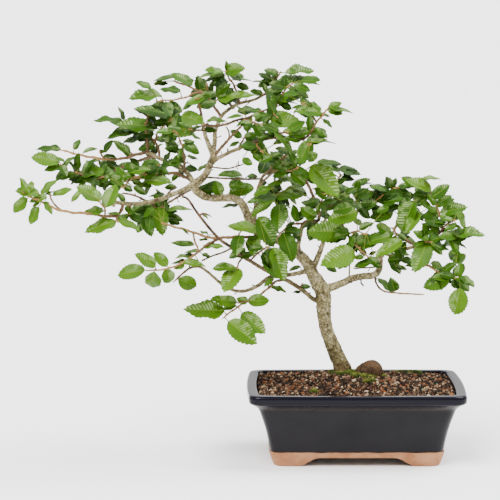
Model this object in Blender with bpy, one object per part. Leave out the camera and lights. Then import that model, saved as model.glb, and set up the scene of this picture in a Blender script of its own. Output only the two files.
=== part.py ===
"""Korean hornbeam bonsai with its pot, in metres, +Z up.

A glazed rectangular pot on bracket feet holds a mound of gritty soil. One piece of wood, the trunk with
its limbs, stands in a plain hole in the soil and leans out over the pot's left end. Leafy stems carry the
foliage: each starts a hair's breadth clear of the wood that it grows from, and is one body with its leaves.

Routes are given as the tree is seen from the front: x and z in millimetres on the upright plane through the
middle of the pot, and the depth behind that plane (in front of it is negative). placed() carries such a point
along the line of sight to its real place.
"""

import math
import random
from collections import namedtuple

import bmesh
import bpy
import numpy as np
from mathutils import Quaternion, Vector
from mathutils.bvhtree import BVHTree

MM = 0.001
GAP = 0.3
PAST = 4.0
EYE = (0.0, -2803.0, 594.0)

# Pot
POT_X = 124.5
RIM_HALF = 126.0
DEPTH_LESS = 33.5
RIM_TOP = 87.5
LIP_WIDTH = 11.3
RIM_BOW = 3.0
CORNER = 13.0
INNER_CORNER = 6.0
CORNER_STEPS = 3
FOOT_HEIGHT = 10.4
ARCH_HALF = 70.0
ARCH_RISE_LENGTH = 29.0
ARCH_STEPS = 6
FOOT_WALL = 8.0
FLOOR_TOP = 18.0
DRAIN_RADIUS = 9.0
DRAIN_X = 50.0
DRAIN_SIDES = 16
SCREEN_SIDE = 30.0
SCREEN_THICK = 1.0
SLOT_PITCH = 6.0
SLOT_SIZE = (14.0, 2.0, 4.0)

# Outer wall from the foot up to the lip: half length and height
OUTER_WALL = (
    (97.0, 0.0),
    (102.0, 15.8),
    (102.0, 17.0),
    (101.0, 17.6),
    (105.6, 42.0),
    (112.0, 67.0),
    (115.3, 77.2),
    (119.6, 77.8),
    (125.6, 79.8),
    (126.0, 85.8),
    (124.6, 87.5),
)
# Inner wall from the lip down to the floor
INNER_WALL = (
    (RIM_HALF - LIP_WIDTH, RIM_TOP),
    (112.4, 83.0),
    (107.8, 72.0),
    (98.0, 30.0),
    (94.0, FLOOR_TOP),
)

# Soil and stone
SOIL_GAP = 0.6
SOIL_EDGE = 84.0
SOIL_MOUND = 93.6
SOIL_RINGS = 4
STONE_AT = (141.0, 99.5, 22.0)
STONE_HALF = (15.0, 12.0, 10.5)
STONE_BLUNT = 0.12
STONE_GAP = 0.4

# Trunk
STUMP_BOTTOM = 58.0
STUMP_RADIUS = 12.5
STUMP_ABOVE = 2.0
TRUNK_ROUNDNESS = 3
HOLE_SIDES = 24
TRUNK_FOOT = (109.5, 100.0, 35.0)
TRUNK = (
    (108.0, 109.0, 34.5, 10.4),
    (102.0, 122.0, 34.0, 9.2),
    (94.0, 141.0, 33.0, 8.2),
    (89.0, 157.0, 31.0, 8.1),
    (87.0, 172.0, 29.0, 8.2),
    (86.5, 187.0, 27.0, 8.8),
    (85.0, 198.0, 25.0, 9.0),
    (79.0, 208.0, 24.0, 8.4),
    (73.5, 218.0, 23.0, 7.4),
    (68.0, 229.0, 22.0, 7.0),
    (60.0, 238.5, 20.0, 6.0),
    (50.0, 247.5, 18.5, 5.4),
    (36.0, 256.0, 16.5, 5.2),
    (20.0, 262.5, 14.5, 5.2),
    (7.0, 269.0, 13.0, 5.2),
    (0.0, 278.0, 12.0, 5.1),
    (-4.0, 289.0, 10.5, 5.0),
    (-9.0, 300.0, 9.5, 4.9),
    (-18.0, 306.5, 8.5, 4.7),
    (-32.0, 307.5, 7.0, 4.6),
    (-46.0, 307.5, 5.0, 4.6),
    (-56.0, 310.5, 3.0, 4.6),
    (-63.0, 316.0, 1.0, 4.6),
    (-67.0, 324.0, 0.0, 4.8),
)

# Leafy stems and leaves. A stem thicker than THICK_STEM at its foot has six sides, any other four
THICK_STEM = 1.5
SEAT_SEARCH = 16.0
SEAT_STEP = 0.2
SEAT_GAP = 0.35
BARE_FIRST = 9.0
BARE_FOOT = 3.0
LEAF_REACH = 28.0
LEAF_WIDTH = 0.54
LEAF_THICK = 0.7
LEAF_NECK = 0.3
LEAF_FOLD = 0.16
LEAF_ARCH = 0.10
LEAF_LEAN = 0.3
CLEARANCE = 0.4
# Half of a leaf's outline from its stalk to its tip: share of the length, and of the full width
LEAF_EDGE = ((0.14, 0.03), (0.36, 0.50), (0.47, 0.40), (0.66, 0.39))
LEAF_MIDDLE = 0.5
# Sizes, leans and turns, in degrees about the midrib, that a leaf tries until it is clear of its neighbours
TRIES = tuple((size, lean, turn) for size in (1, 0.85, 0.7) for lean in (1, -1, 0.2, 2, -2, 3, -3)
              for turn in (0, 25, -25, 50, -50, 75, -75))

Shoot = namedtuple("Shoot", "foot_radius tip_radius route leaves", defaults=((),))

# Bare limbs and twigs of the wood, each from the axis of what it grows from
LIMBS = (
    Shoot(2.8, 1.9, ((-67, 323, 0), (-78, 317, -8), (-90, 312, -16), (-105, 306, -26), (-122, 302, -36),
                     (-136, 300.5, -44), (-150, 301, -52), (-158, 302, -56), (-161, 297, -58))),
    Shoot(1.1, 0.8, ((-120, 303, -35), (-132, 309, -32), (-142, 312, -30), (-150, 313, -28))),
    Shoot(1.0, 0.7, ((-100, 308, -23), (-93, 316, -15), (-86, 320, -9))),
    Shoot(2.6, 1.9, ((-66, 324, 1), (-72, 335, 6), (-80, 341, 12), (-90, 346.5, 18), (-108, 355, 29),
                     (-121, 361.5, 37))),
    Shoot(4.2, 3.2, ((-67, 323, 0), (-58, 329, -3), (-51, 337, -6), (-47, 347, -9), (-43, 357, -12),
                     (-43, 363, -13))),
    Shoot(2.7, 1.4, ((-44, 361, -13), (-49, 372, -20), (-53, 383, -28), (-55, 392, -34), (-57, 406, -43))),
    Shoot(1.4, 1.0, ((-54, 393, -34), (-42, 392, -36), (-28, 394, -38), (-15, 399, -40), (-4, 401, -42))),
    Shoot(2.6, 1.2, ((-43, 361, -13), (-41, 375, -4), (-41, 385, 3), (-37, 396, 10), (-33, 404, 16),
                     (-24, 412, 22), (-12, 418.5, 28), (4, 422.5, 32), (15, 428, 34), (22, 433, 35))),
    Shoot(0.9, 0.6, ((-41, 383, 2), (-45, 390, -4), (-50, 395, -9))),
    Shoot(1.7, 1.0, ((-42, 356, -12), (-36, 364, -18), (-28, 373, -26), (-18, 384, -34), (-7, 395, -43))),
    Shoot(0.8, 0.6, ((-24, 378, -30), (-25, 386, -26), (-28, 391, -24))),
    Shoot(2.2, 1.2, ((-44, 350, -9), (-34, 356, -16), (-24, 361, -24), (-12, 366, -32), (0, 371, -38),
                     (12, 375, -44), (28, 378, -50), (44, 379, -56))),
    Shoot(0.8, 0.6, ((-26, 360, -23), (-26, 366, -22))),
    Shoot(0.9, 0.8, ((-55, 332, -5), (-30, 330.5, -10), (-5, 329.5, -15), (13, 330, -19))),
    Shoot(0.7, 0.5, ((-46, 344, -9), (-28, 342, -14), (-18, 344, -18), (-8, 347, -22))),
    Shoot(2.2, 1.3, ((5, 270.5, 13), (6, 290, 4), (8, 312, -10), (14, 331, -20), (22, 339, -24),
                     (29, 346, -28))),
    Shoot(2.6, 1.5, ((57, 242, 19), (57, 252, 14), (59, 263, 8), (63, 277, 0), (72, 280.5, -4),
                     (80, 281, -8), (81, 291, -14), (77, 303, -20), (72, 314, -26))),
    Shoot(3.4, 1.8, ((73, 221, 22), (78, 233, 20), (82, 243, 18), (86, 254, 14), (88, 263, 9), (97, 270, 4),
                     (109, 274, -2))),
    Shoot(4.2, 3.4, ((88, 199, 25), (100, 203, 20), (112, 208, 15), (120, 212, 11), (132, 214.5, 6),
                     (145, 216, 0), (151, 221, -4), (153, 230, -8), (152, 238, -12))),
    Shoot(2.4, 1.4, ((152, 236, -11), (160, 243, -17), (175, 245.5, -24), (190, 249, -30), (205, 256, -37),
                     (218, 261.5, -43))),
    Shoot(0.7, 0.6, ((117, 211, 12), (117, 222, 10), (117, 232, 8))),
    Shoot(0.7, 0.6, ((152, 226, -6), (140, 225, -11), (122, 224, -15))),
    Shoot(0.7, 0.6, ((131, 213, 6), (131, 207, 2), (134, 203, 0))),
    Shoot(2.6, 1.1, ((84, 184, 27), (74, 188, 22), (62, 198, 14), (45, 209, 4), (20, 221, -8), (0, 233, -18),
                     (-12, 240, -24), (-22, 249, -30), (-35, 258, -36), (-48, 272, -42), (-62, 290, -48),
                     (-73, 306, -52), (-80, 309, -54))),
    Shoot(0.9, 0.7, ((-22, 248, -30), (-32, 243, -34), (-44, 239, -38), (-57, 233, -42))),
    Shoot(2.4, 1.2, ((68, 221, 21), (50, 217, 12), (35, 215, 4), (22, 213, -2), (10, 204, -10),
                     (-3, 198, -18), (-15, 197, -24), (-28, 202, -30), (-40, 211, -36), (-50, 220, -40),
                     (-60, 226, -44), (-70, 225, -50))),
    Shoot(1.8, 1.1, ((-112, 357, 32), (-128, 352, 52), (-146, 345, 74))),
    Shoot(2.0, 1.1, ((-2, 283, 11), (8, 296, 36), (22, 306, 62))),
    Shoot(2.0, 1.1, ((86, 256, 13), (88, 280, 38), (92, 302, 62))),
    Shoot(1.8, 1.0, ((152, 234, -9), (160, 252, 18), (172, 274, 46))),
    Shoot(1.8, 1.0, ((-66, 320, 1), (-76, 314, 28), (-92, 304, 56))),
    Shoot(1.4, 0.9, ((-20, 414, 24), (-28, 422, 46))),
    Shoot(1.6, 1.0, ((8, 312, -10), (14, 325, 25), (24, 335, 52))),
)

# Leafy stems: the first shoot of each grows from the wood, the others from a shoot of the same stem. A leaf
# is given by its tip, and by the share of its width that is seen from the front
SPRAYS = {
    "spray_far_left": (
        Shoot(1.7, 0.7, ((-149, 301, -51), (-151, 293, -55), (-157, 286.5, -60), (-170, 286, -66),
                         (-190, 289, -74), (-210, 290.5, -82), (-228, 294.5, -90), (-240, 301, -93),
                         (-252, 306, -96), (-265, 313, -99)),
              ((-281, 291, 0.9), (-277, 319, 0.8), (-270, 333, 0.5), (-261, 277, 0.8),
               (-230, 288, 0.7))),
        Shoot(0.9, 0.6, ((-222, 293, -87), (-230, 300, -82), (-235, 311, -78)),
              ((-209, 320, 0.5), (-222, 328, 0.45))),
        Shoot(0.9, 0.6, ((-170, 286, -66), (-171, 295, -74), (-176, 303, -80)),
              ((-156, 322, 0.8), (-197, 293, 0.6), (-203, 324, 0.85))),
        Shoot(0.9, 0.6, ((-157, 286.5, -60), (-156, 280, -70), (-155, 279, -78)),
              ((-127, 271, 0.7), (-195, 272, 0.65))),
    ),
    "spray_left_under": (
        Shoot(0.9, 0.6, ((-118, 303, -34), (-112, 297, -25), (-105, 291, -18), (-100, 283, -14)),
              ((-138, 298, 0.6), (-67, 297, 0.35), (-78, 283, 0.5), (-116, 262, 0.8),
               (-103, 262, 0.95))),
    ),
    "spray_left_inner": (
        Shoot(0.9, 0.6, ((-140, 300.5, -46), (-142, 292, -40), (-143, 286, -36)),
              ((-136, 283, 0.8), (-152, 283, 0.7))),
    ),
    "spray_left_arm": (
        Shoot(1.7, 0.8, ((-121, 361.5, 37), (-135, 358, 44), (-148, 354, 50), (-165, 353, 56),
                         (-180, 354.5, 62), (-195, 357, 68), (-207, 360, 72), (-220, 363.5, 76)),
              ((-127, 345, 0.6), (-178, 366, 0.45), (-199, 379, 0.5), (-251, 367, 0.5))),
        Shoot(0.8, 0.6, ((-170, 353.5, 58), (-174, 358, 50), (-176, 363, 44)),
              ((-152, 344, 0.8), (-191, 346, 0.4), (-162, 375, 0.5))),
        Shoot(0.8, 0.6, ((-136, 358, 44), (-139, 360, 54), (-142, 363, 62)),
              ((-158, 376, 0.8),)),
    ),
    "spray_left_middle": (
        Shoot(1.8, 0.7, ((-70, 329, 3), (-78, 333, 6), (-88, 336.5, 6), (-105, 336, 2), (-120, 333, -4),
                         (-140, 331, -12), (-165, 331, -22), (-185, 332, -30), (-203, 335, -38),
                         (-213, 338, -42), (-221, 345, -46)),
              ((-241, 339, 0.7), (-203, 358, 0.6), (-257, 357, 0.8))),
        Shoot(0.8, 0.6, ((-188, 332.3, -31), (-196, 335, -40), (-203, 337, -46)),
              ((-200, 328, 0.7), (-228, 333, 0.4))),
        Shoot(0.8, 0.6, ((-158, 331, -19), (-166, 335, -12), (-175, 337, -6)),
              ((-164, 345, 0.8), (-178, 322, 0.8))),
        Shoot(0.8, 0.6, ((-140, 331, -12), (-144, 325, -22), (-149, 320, -30)),
              ((-121, 317, 0.8), (-177, 322, 0.7))),
        Shoot(0.8, 0.6, ((-116, 334, -2), (-124, 335, -12), (-133, 336, -22)),
              ((-92, 330, 0.55), (-97, 342, 0.45))),
    ),
    "spray_left_arm_low": (
        Shoot(0.8, 0.6, ((-98, 350, 23), (-102, 347, 14), (-107, 346, 6)),
              ((-95, 338, 0.6), (-128, 346, 0.6))),
    ),
    "spray_left_fork": (
        Shoot(0.8, 0.6, ((-80, 341, 12), (-78, 346, 22), (-74, 349, 30)),
              ((-95, 353, 0.6), (-63, 340, 0.6))),
    ),
    "spray_dark_twig": (
        Shoot(0.9, 0.6, ((-76, 338, 9), (-77, 352, 0), (-79, 367, -8), (-84, 380, -14), (-89, 388, -18)),
              ((-65, 373, 0.8), (-99, 374, 0.7))),
    ),
    "spray_left_upright": (
        Shoot(1.4, 0.7, ((-120, 361, 36), (-120, 371, 38), (-121, 381, 38), (-122, 392, 36), (-119, 404, 32)),
              ((-156, 396, 0.9), (-134, 418, 0.85))),
    ),
    "spray_left_upper": (
        Shoot(1.3, 0.7, ((-106, 354, 28), (-107, 365, 36), (-111, 373, 44), (-118, 380, 52), (-132, 389, 60),
                         (-147, 397, 66)),
              ((-151, 373, 0.5), (-168, 380, 0.4), (-183, 401, 0.35))),
        Shoot(0.9, 0.6, ((-111, 373, 44), (-108, 384, 36), (-102, 391, 28), (-91, 400, 20)),
              ((-70, 384, 0.9), (-104, 421, 0.8), (-79, 411, 0.7))),
    ),
    "spray_crown_left": (
        Shoot(1.3, 0.6, ((-57, 405, -42), (-59, 414, -49), (-62, 424, -56)),
              ((-79, 407, 0.8), (-46, 428, 0.7), (-76, 421, 0.8))),
    ),
    "spray_crown_left_side": (
        Shoot(0.9, 0.6, ((-54, 387, -31), (-63, 387, -39), (-70, 388, -45)),
              ((-56, 400, 0.8), (-91, 389, 0.7))),
    ),
    "spray_top_middle": (
        Shoot(1.0, 0.7, ((-13, 418, 27.5), (-14, 428, 20), (-18, 438, 14), (-23, 446, 9), (-28, 455, 5)),
              ((2, 447, 0.5), (-62, 453, 0.5), (-14, 465, 0.95))),
    ),
    "spray_top_left": (
        Shoot(1.5, 0.7, ((-34, 403, 15), (-40, 412, 19), (-46, 421, 22), (-54, 430, 26), (-66, 436, 31),
                         (-76, 440, 35), (-88, 444, 39)),
              ((-42, 438, 0.8), (-90, 457, 0.7), (-114, 450, 0.4))),
        Shoot(0.9, 0.6, ((-52, 428, 25), (-62, 431, 20), (-74, 426, 15), (-86, 423, 11), (-108, 421, 5)),
              ((-106, 438, 0.8), (-101, 409, 0.8), (-141, 428, 0.7), (-133, 445, 0.35))),
        Shoot(0.8, 0.6, ((-48, 423, 23), (-49, 433, 16), (-51, 441, 10)),
              ((-61, 450, 0.8),)),
        Shoot(0.8, 0.6, ((-44, 418, 21), (-40, 421, 12), (-36, 424, 4)),
              ((-60, 412, 0.8), (-24, 441, 0.5), (9, 429, 0.75))),
    ),
    "spray_top_right": (
        Shoot(1.1, 0.7, ((22, 433, 35), (28, 441, 36), (31, 448, 36), (35, 454, 37)),
              ((3, 446, 0.35), (58, 447, 0.6), (16, 459, 0.6), (76, 459, 0.5))),
    ),
    "spray_top_side": (
        Shoot(0.9, 0.6, ((15, 428, 34), (21, 429, 24), (26, 428, 16)),
              ((46, 437, 0.7), (29, 410, 0.8))),
    ),
    "spray_crown_right": (
        Shoot(1.0, 0.7, ((-4, 401, -42), (9, 407, -38), (19, 411, -34), (28, 411, -30), (34, 423, -28),
                         (41, 434, -27), (48, 441, -28)),
              ((-16, 411, 0.8), (30, 440, 0.6), (73, 413, 0.8), (83, 446, 0.6))),
        Shoot(0.8, 0.6, ((25, 411, -31), (27, 406, -40), (31, 403, -46)),
              ((60, 398, 0.9),)),
    ),
    "spray_crown_right_low": (
        Shoot(0.9, 0.6, ((-8, 400, -41), (2, 397, -50), (12, 394, -58)),
              ((-26, 401, 0.4), (36, 392, 0.5))),
    ),
    "spray_crown_inner": (
        Shoot(0.8, 0.6, ((-14, 365, -31), (-10, 373, -28), (-5, 381, -25), (-1, 388, -22)),
              ((8, 380, 0.9),)),
    ),
    "spray_crown_middle": (
        Shoot(0.9, 0.6, ((4, 372, -40), (9, 368, -49), (14, 362, -57)),
              ((3, 350, 0.8), (25, 352, 0.8))),
    ),
    "spray_crown_far": (
        Shoot(0.9, 0.6, ((28, 378, -50), (35, 383, -58), (43, 385, -65)),
              ((21, 388, 0.8), (73, 389, 0.5))),
    ),
    "spray_upper_right": (
        Shoot(1.2, 0.7, ((44, 379, -56), (58, 376, -60), (66, 379, -63), (72, 386, -66), (77, 395, -68),
                         (83, 403, -70), (90, 411, -72)),
              ((94, 402, 0.4), (120, 410, 0.45))),
        Shoot(0.9, 0.6, ((78, 396, -68), (73, 404, -64), (68, 411, -60), (62, 418, -56)),
              ((54, 408, 0.7), (86, 412, 0.6))),
        Shoot(0.9, 0.6, ((61, 377, -61), (65, 373, -70), (70, 370, -78)),
              ((101, 377, 0.6), (58, 350, 0.95))),
    ),
    "spray_centre_top": (
        Shoot(1.2, 0.7, ((29, 346, -28), (36, 352, -32), (46, 361, -38)),
              ((29, 364, 0.6), (56, 373, 0.7))),
    ),
    "spray_centre_side": (
        Shoot(0.9, 0.6, ((22, 339, -24), (34, 341, -32), (44, 339, -40), (55, 342, -46)),
              ((25, 333, 0.6), (64, 322, 0.9))),
    ),
    "spray_centre_right": (
        Shoot(1.4, 0.7, ((72, 314, -26), (67, 326, -30), (62, 337, -35), (53, 347, -40)),
              ((88, 312, 0.8), (104, 318, 0.95), (84, 352, 0.7))),
    ),
    "spray_centre_middle": (
        Shoot(0.9, 0.6, ((79, 297, -17), (84, 304, -26), (88, 312, -34)),
              ((57, 296, 0.6), (104, 300, 0.7))),
    ),
    "spray_centre_hanging": (
        Shoot(1.2, 0.7, ((63, 277, 0), (54, 277, -8), (45, 274, -14), (34, 264, -22)),
              ((52, 300, 0.6), (28, 299, 0.95), (51, 231, 0.95), (6, 286, 0.8), (29, 248, 0.8))),
    ),
    "spray_centre_outer": (
        Shoot(1.1, 0.7, ((81, 290, -13), (90, 295, -12), (100, 300, -11), (114, 303, -10)),
              ((99, 281, 0.8), (124, 278, 0.8), (143, 302, 0.5))),
    ),
    "spray_front_big": (
        Shoot(0.9, 0.7, ((0, 233, -18), (8, 241, -26), (19, 249, -34)),
              ((40, 208, 0.95), (30, 268, 0.6))),
    ),
    "spray_low_limb": (
        Shoot(1.7, 0.8, ((20, 262.5, 14.5), (6, 261, 1), (-14, 261.5, -8), (-30, 260.5, -14), (-45, 260, -22),
                         (-60, 264.5, -30), (-78, 270.5, -38), (-92, 274, -44), (-102, 278, -48)),
              ((-126, 284, 0.8), (-120, 264, 0.8))),
        Shoot(0.9, 0.6, ((-67, 267, -33), (-65, 257, -38), (-60, 245, -44)),
              ((-94, 257, 0.5),)),
        Shoot(0.8, 0.6, ((4, 261, 0), (7, 264, -10), (9, 267, -18)),
              ((-27, 275, 0.7), (3, 240, 0.95))),
        Shoot(0.8, 0.6, ((-14, 261.5, -8), (-13, 265, -17), (-10, 268, -23)),
              ((-18, 240, 0.8),)),
    ),
    "spray_lower_left": (
        Shoot(1.2, 0.6, ((-36, 259, -37), (-47, 254, -44), (-58, 246, -52), (-68, 238, -58), (-79, 231, -64),
                         (-90, 226, -68), (-104, 222.5, -72), (-120, 221.5, -76)),
              ((-28, 251, 0.5), (-51, 229, 0.6), (-88, 224, 0.7), (-94, 206, 0.8), (-113, 244, 0.8),
               (-116, 199, 0.9), (-136, 242, 0.8), (-158, 218, 0.9))),
    ),
    "spray_low_end": (
        Shoot(0.9, 0.6, ((-60, 287, -47), (-53, 289, -54), (-47, 286, -60)),
              ((-38, 298, 0.4),)),
    ),
    "spray_low_front": (
        Shoot(0.9, 0.6, ((-8, 238, -22), (-13, 231, -31), (-15, 225, -38)),
              ((-31, 197, 0.95),)),
    ),
    "spray_low_tip": (
        Shoot(1.0, 0.7, ((-70, 225, -50), (-77, 220, -54), (-89, 209, -60)),
              ((-60, 202, 0.9),)),
    ),
    "spray_bottom": (
        Shoot(1.2, 0.7, ((41, 211, 2), (30, 208, -8), (20, 199, -16), (10, 192, -22), (-3, 185, -30),
                         (-16, 177, -36), (-31, 166, -44)),
              ((17, 152, 0.8), (-79, 178, 0.85), (8, 141, 0.8))),
        Shoot(0.8, 0.6, ((-1, 186, -29), (-8, 184, -37), (-14, 183, -44)),
              ((24, 188, 0.8), (-46, 188, 0.85))),
        Shoot(0.8, 0.6, ((24, 202.6, -12.8), (22, 203, -4), (24, 202, 6)),
              ((44, 197, 0.5),)),
    ),
    "spray_trunk_low": (
        Shoot(0.9, 0.6, ((58, 201, 12), (61, 204, 2), (62, 206, -6)),
              ((72, 203, 0.5),)),
    ),
    "spray_right_fork": (
        Shoot(1.3, 0.6, ((109, 274, -2), (116, 262, -12), (123, 253, -22), (131, 245, -30), (140, 237, -36)),
              ((71, 268, 0.85), (86, 229, 0.85), (148, 240, 0.3))),
        Shoot(0.8, 0.6, ((115, 264, -10), (124, 268, -20), (136, 265, -30)),
              ((106, 283, 0.6), (150, 296, 0.7))),
    ),
    "spray_right_fork_back": (
        Shoot(1.1, 0.6, ((98, 270.5, 3), (112, 280, 8), (126, 291, 14), (138, 298, 20), (148, 305, 24),
                         (160, 313, 28), (172, 319, 32)),
              ((140, 286, 0.7), (179, 308, 0.75), (157, 328, 0.5), (174, 331, 0.7))),
        Shoot(0.8, 0.6, ((126, 291, 14), (125, 303, 20), (120, 314, 26)),
              ((104, 314, 0.7), (141, 331, 0.4))),
    ),
    "spray_right_up": (
        Shoot(1.2, 0.6, ((218, 261.5, -43), (226, 270, -43), (225, 281, -41), (221, 293, -39),
                         (217, 303, -38), (212, 315, -38)),
              ((252, 299, 0.7), (192, 300, 0.85), (236, 311, 0.8), (180, 331, 0.6), (224, 331, 0.5))),
        Shoot(0.8, 0.6, ((226, 272, -43), (233, 277, -50), (240, 281, -56)),
              ((254, 270, 0.6), (250, 290, 0.8))),
    ),
    "spray_right_tip": (
        Shoot(1.0, 0.6, ((214, 260, -41), (224, 261, -50), (238, 262, -56), (251, 263, -60)),
              ((278, 268, 0.5), (232, 250, 0.7), (255, 248, 0.3))),
    ),
    "spray_right_hanging": (
        Shoot(0.9, 0.6, ((203, 255, -36), (208, 256, -46), (213, 255, -54)),
              ((196, 220, 0.95), (232, 243, 0.6))),
    ),
    "spray_right_inner": (
        Shoot(1.0, 0.6, ((194, 251, -32), (184, 258, -26), (174, 263, -20), (168, 271, -18)),
              ((145, 240, 0.9), (131, 255, 0.9), (201, 302, 0.9), (148, 277, 0.7))),
    ),
    "spray_right_low": (
        Shoot(1.4, 0.7, ((158, 241.5, -15), (168, 238, -22), (180, 234, -30), (197, 230, -38),
                         (212, 226, -46), (224, 218.5, -52), (235, 214, -57), (247, 211, -62)),
              ((183, 222, 0.8), (212, 231, 0.7), (204, 201, 0.85), (243, 246, 0.8), (241, 168, 0.9),
               (266, 203, 0.6))),
    ),
    "spray_right_under": (
        Shoot(0.9, 0.6, ((147, 215.5, -1), (149, 206, -9), (156, 198, -15), (170, 195, -20), (203, 193, -28)),
              ((174, 211, 0.9),)),
    ),
    "spray_back_left": (
        Shoot(1.1, 0.6, ((-146, 345, 74), (-160, 340, 88), (-176, 335, 104)),
              ((-150, 328, 0.7), (-192, 346, 0.7), (-178, 320, 0.7), (-198, 328, 0.7))),
    ),
    "spray_back_centre": (
        Shoot(1.1, 0.6, ((22, 306, 62), (36, 314, 80), (50, 320, 100)),
              ((16, 322, 0.7), (36, 334, 0.6), (68, 310, 0.7), (66, 332, 0.7))),
    ),
    "spray_back_right": (
        Shoot(1.1, 0.6, ((92, 302, 62), (98, 320, 82), (106, 334, 102)),
              ((76, 316, 0.7), (118, 312, 0.7), (131, 338, 0.6), (112, 352, 0.6))),
    ),
    "spray_back_far": (
        Shoot(1.0, 0.6, ((172, 274, 46), (184, 292, 66), (196, 308, 88)),
              ((158, 290, 0.7), (206, 284, 0.7), (216, 306, 0.7), (198, 328, 0.6))),
    ),
    "spray_back_low": (
        Shoot(1.0, 0.6, ((-92, 304, 56), (-110, 292, 76), (-124, 284, 98)),
              ((-84, 290, 0.7), (-100, 274, 0.7), (-142, 296, 0.7), (-130, 268, 0.7))),
    ),
    "spray_back_top": (
        Shoot(0.9, 0.6, ((-28, 422, 46), (-38, 430, 66), (-50, 436, 84)),
              ((-14, 430, 0.6), (-58, 422, 0.7), (-72, 443, 0.6))),
    ),
    "spray_back_middle": (
        Shoot(1.0, 0.6, ((24, 335, 52), (34, 343, 72), (44, 352, 92)),
              ((12, 344, 0.8), (30, 364, 0.6), (66, 352, 0.7))),
    ),
}

Colour = namedtuple("Colour", "rgb roughness metallic")
CLAY_AND_GLAZE = Colour((0.035, 0.036, 0.046), 0.3, 0.0)
SCREEN_PLASTIC = Colour((0.02, 0.02, 0.02), 0.6, 0.0)
SOIL_GRIT = Colour((0.09, 0.055, 0.035), 0.95, 0.0)
STONE_BROWN = Colour((0.12, 0.065, 0.04), 0.8, 0.0)
BARK = Colour((0.33, 0.26, 0.18), 0.85, 0.0)
LEAF_GREEN = Colour((0.13, 0.26, 0.035), 0.45, 0.0)


def placed(x, z, depth):
    """The real place, in metres, of a point that is seen at (x, z) and lies depth behind the pot's middle."""
    further = 1 - depth / EYE[1]
    return Vector((x * further, depth, EYE[2] + (z - EYE[2]) * further)) * MM


def material(name, colour):
    made = bpy.data.materials.new(name)
    made.use_nodes = True
    shader = made.node_tree.nodes["Principled BSDF"]
    shader.inputs["Base Color"].default_value = (*colour.rgb, 1.0)
    shader.inputs["Roughness"].default_value = colour.roughness
    shader.inputs["Metallic"].default_value = colour.metallic
    made.diffuse_color = (*colour.rgb, 1.0)
    return made


def mesh_object(name, mesh, collection):
    made = bpy.data.objects.new(name, mesh)
    collection.objects.link(made)
    return made


def from_bmesh(name, shape, collection):
    bmesh.ops.recalc_face_normals(shape, faces=shape.faces)
    mesh = bpy.data.meshes.new(name)
    shape.to_mesh(mesh)
    shape.free()
    return mesh_object(name, mesh, collection)


def applied(piece):
    """The object with its modifiers made part of its mesh."""
    graph = bpy.context.evaluated_depsgraph_get()
    mesh = bpy.data.meshes.new_from_object(piece.evaluated_get(graph))
    piece.modifiers.clear()
    piece.data = mesh
    return piece


def cut(piece, cutter):
    """Takes the cutter's shape out of the piece."""
    cutter.hide_render = True
    cutter.display_type = "WIRE"
    boolean = piece.modifiers.new(cutter.name, "BOOLEAN")
    boolean.operation = "DIFFERENCE"
    boolean.object = cutter
    return boolean


def fused(name, pieces, collection):
    """One body of all the pieces, which overlap one another."""
    others = bpy.data.collections.new(name + "_pieces")
    bpy.context.scene.collection.children.link(others)
    first, rest = pieces[0], pieces[1:]
    for piece in rest:
        collection.objects.unlink(piece)
        others.objects.link(piece)
    if rest:
        boolean = first.modifiers.new("union", "BOOLEAN")
        boolean.operation = "UNION"
        boolean.operand_type = "COLLECTION"
        boolean.collection = others
        boolean.solver = "MANIFOLD"
        applied(first)
    for piece in rest:
        bpy.data.objects.remove(piece)
    bpy.data.collections.remove(others)
    first.name = name
    first.data.name = name
    return first


def tube(name, points, radii, resolution, collection):
    """A round stem through the points, with flat ends."""
    curve = bpy.data.curves.new(name, "CURVE")
    curve.dimensions = "3D"
    curve.bevel_depth = MM
    curve.bevel_resolution = resolution
    curve.use_fill_caps = True
    spline = curve.splines.new("POLY")
    spline.points.add(len(points) - 1)
    for spot, point, radius in zip(spline.points, points, radii):
        spot.co = (*point, 1.0)
        spot.radius = radius
    guide = mesh_object(name, curve, collection)
    graph = bpy.context.evaluated_depsgraph_get()
    mesh = bpy.data.meshes.new_from_object(guide.evaluated_get(graph))
    bpy.data.objects.remove(guide)
    shape = bmesh.new()
    shape.from_mesh(mesh)
    bmesh.ops.remove_doubles(shape, verts=shape.verts, dist=0.00001)
    bpy.data.meshes.remove(mesh)
    return from_bmesh(name, shape, collection)


def even_radii(shoot, count):
    return np.linspace(shoot.foot_radius, shoot.tip_radius, count).tolist()


def cut_route(points, radii, length):
    """The part of a route that lies beyond a length along it."""
    walked = 0.0
    for i in range(len(points) - 1):
        step = (points[i + 1] - points[i]).length
        if walked + step > length:
            share = (length - walked) / step
            start = points[i].lerp(points[i + 1], share)
            radius = radii[i] + (radii[i + 1] - radii[i]) * share
            return [start] + points[i + 1:], [radius] + radii[i + 1:]
        walked += step
    raise ValueError("the route is shorter than the length cut from it")


def seated_route(points, radii, wood_tree):
    """The route from where its flat end sits just clear of the wood."""
    length = SEAT_SEARCH
    while length > SEAT_STEP:
        start, reach = cut_route(points, radii, (length - SEAT_STEP) * MM)
        along = (start[1] - start[0]).normalized()
        side = along.orthogonal().normalized() * reach[0] * MM
        rim = [start[0] + Quaternion(along, math.radians(45 * i)) @ side for i in range(8)]
        if min(wood_tree.find_nearest(spot)[3] for spot in rim) < SEAT_GAP * MM:
            break
        length -= SEAT_STEP
    return cut_route(points, radii, length * MM)


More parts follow.
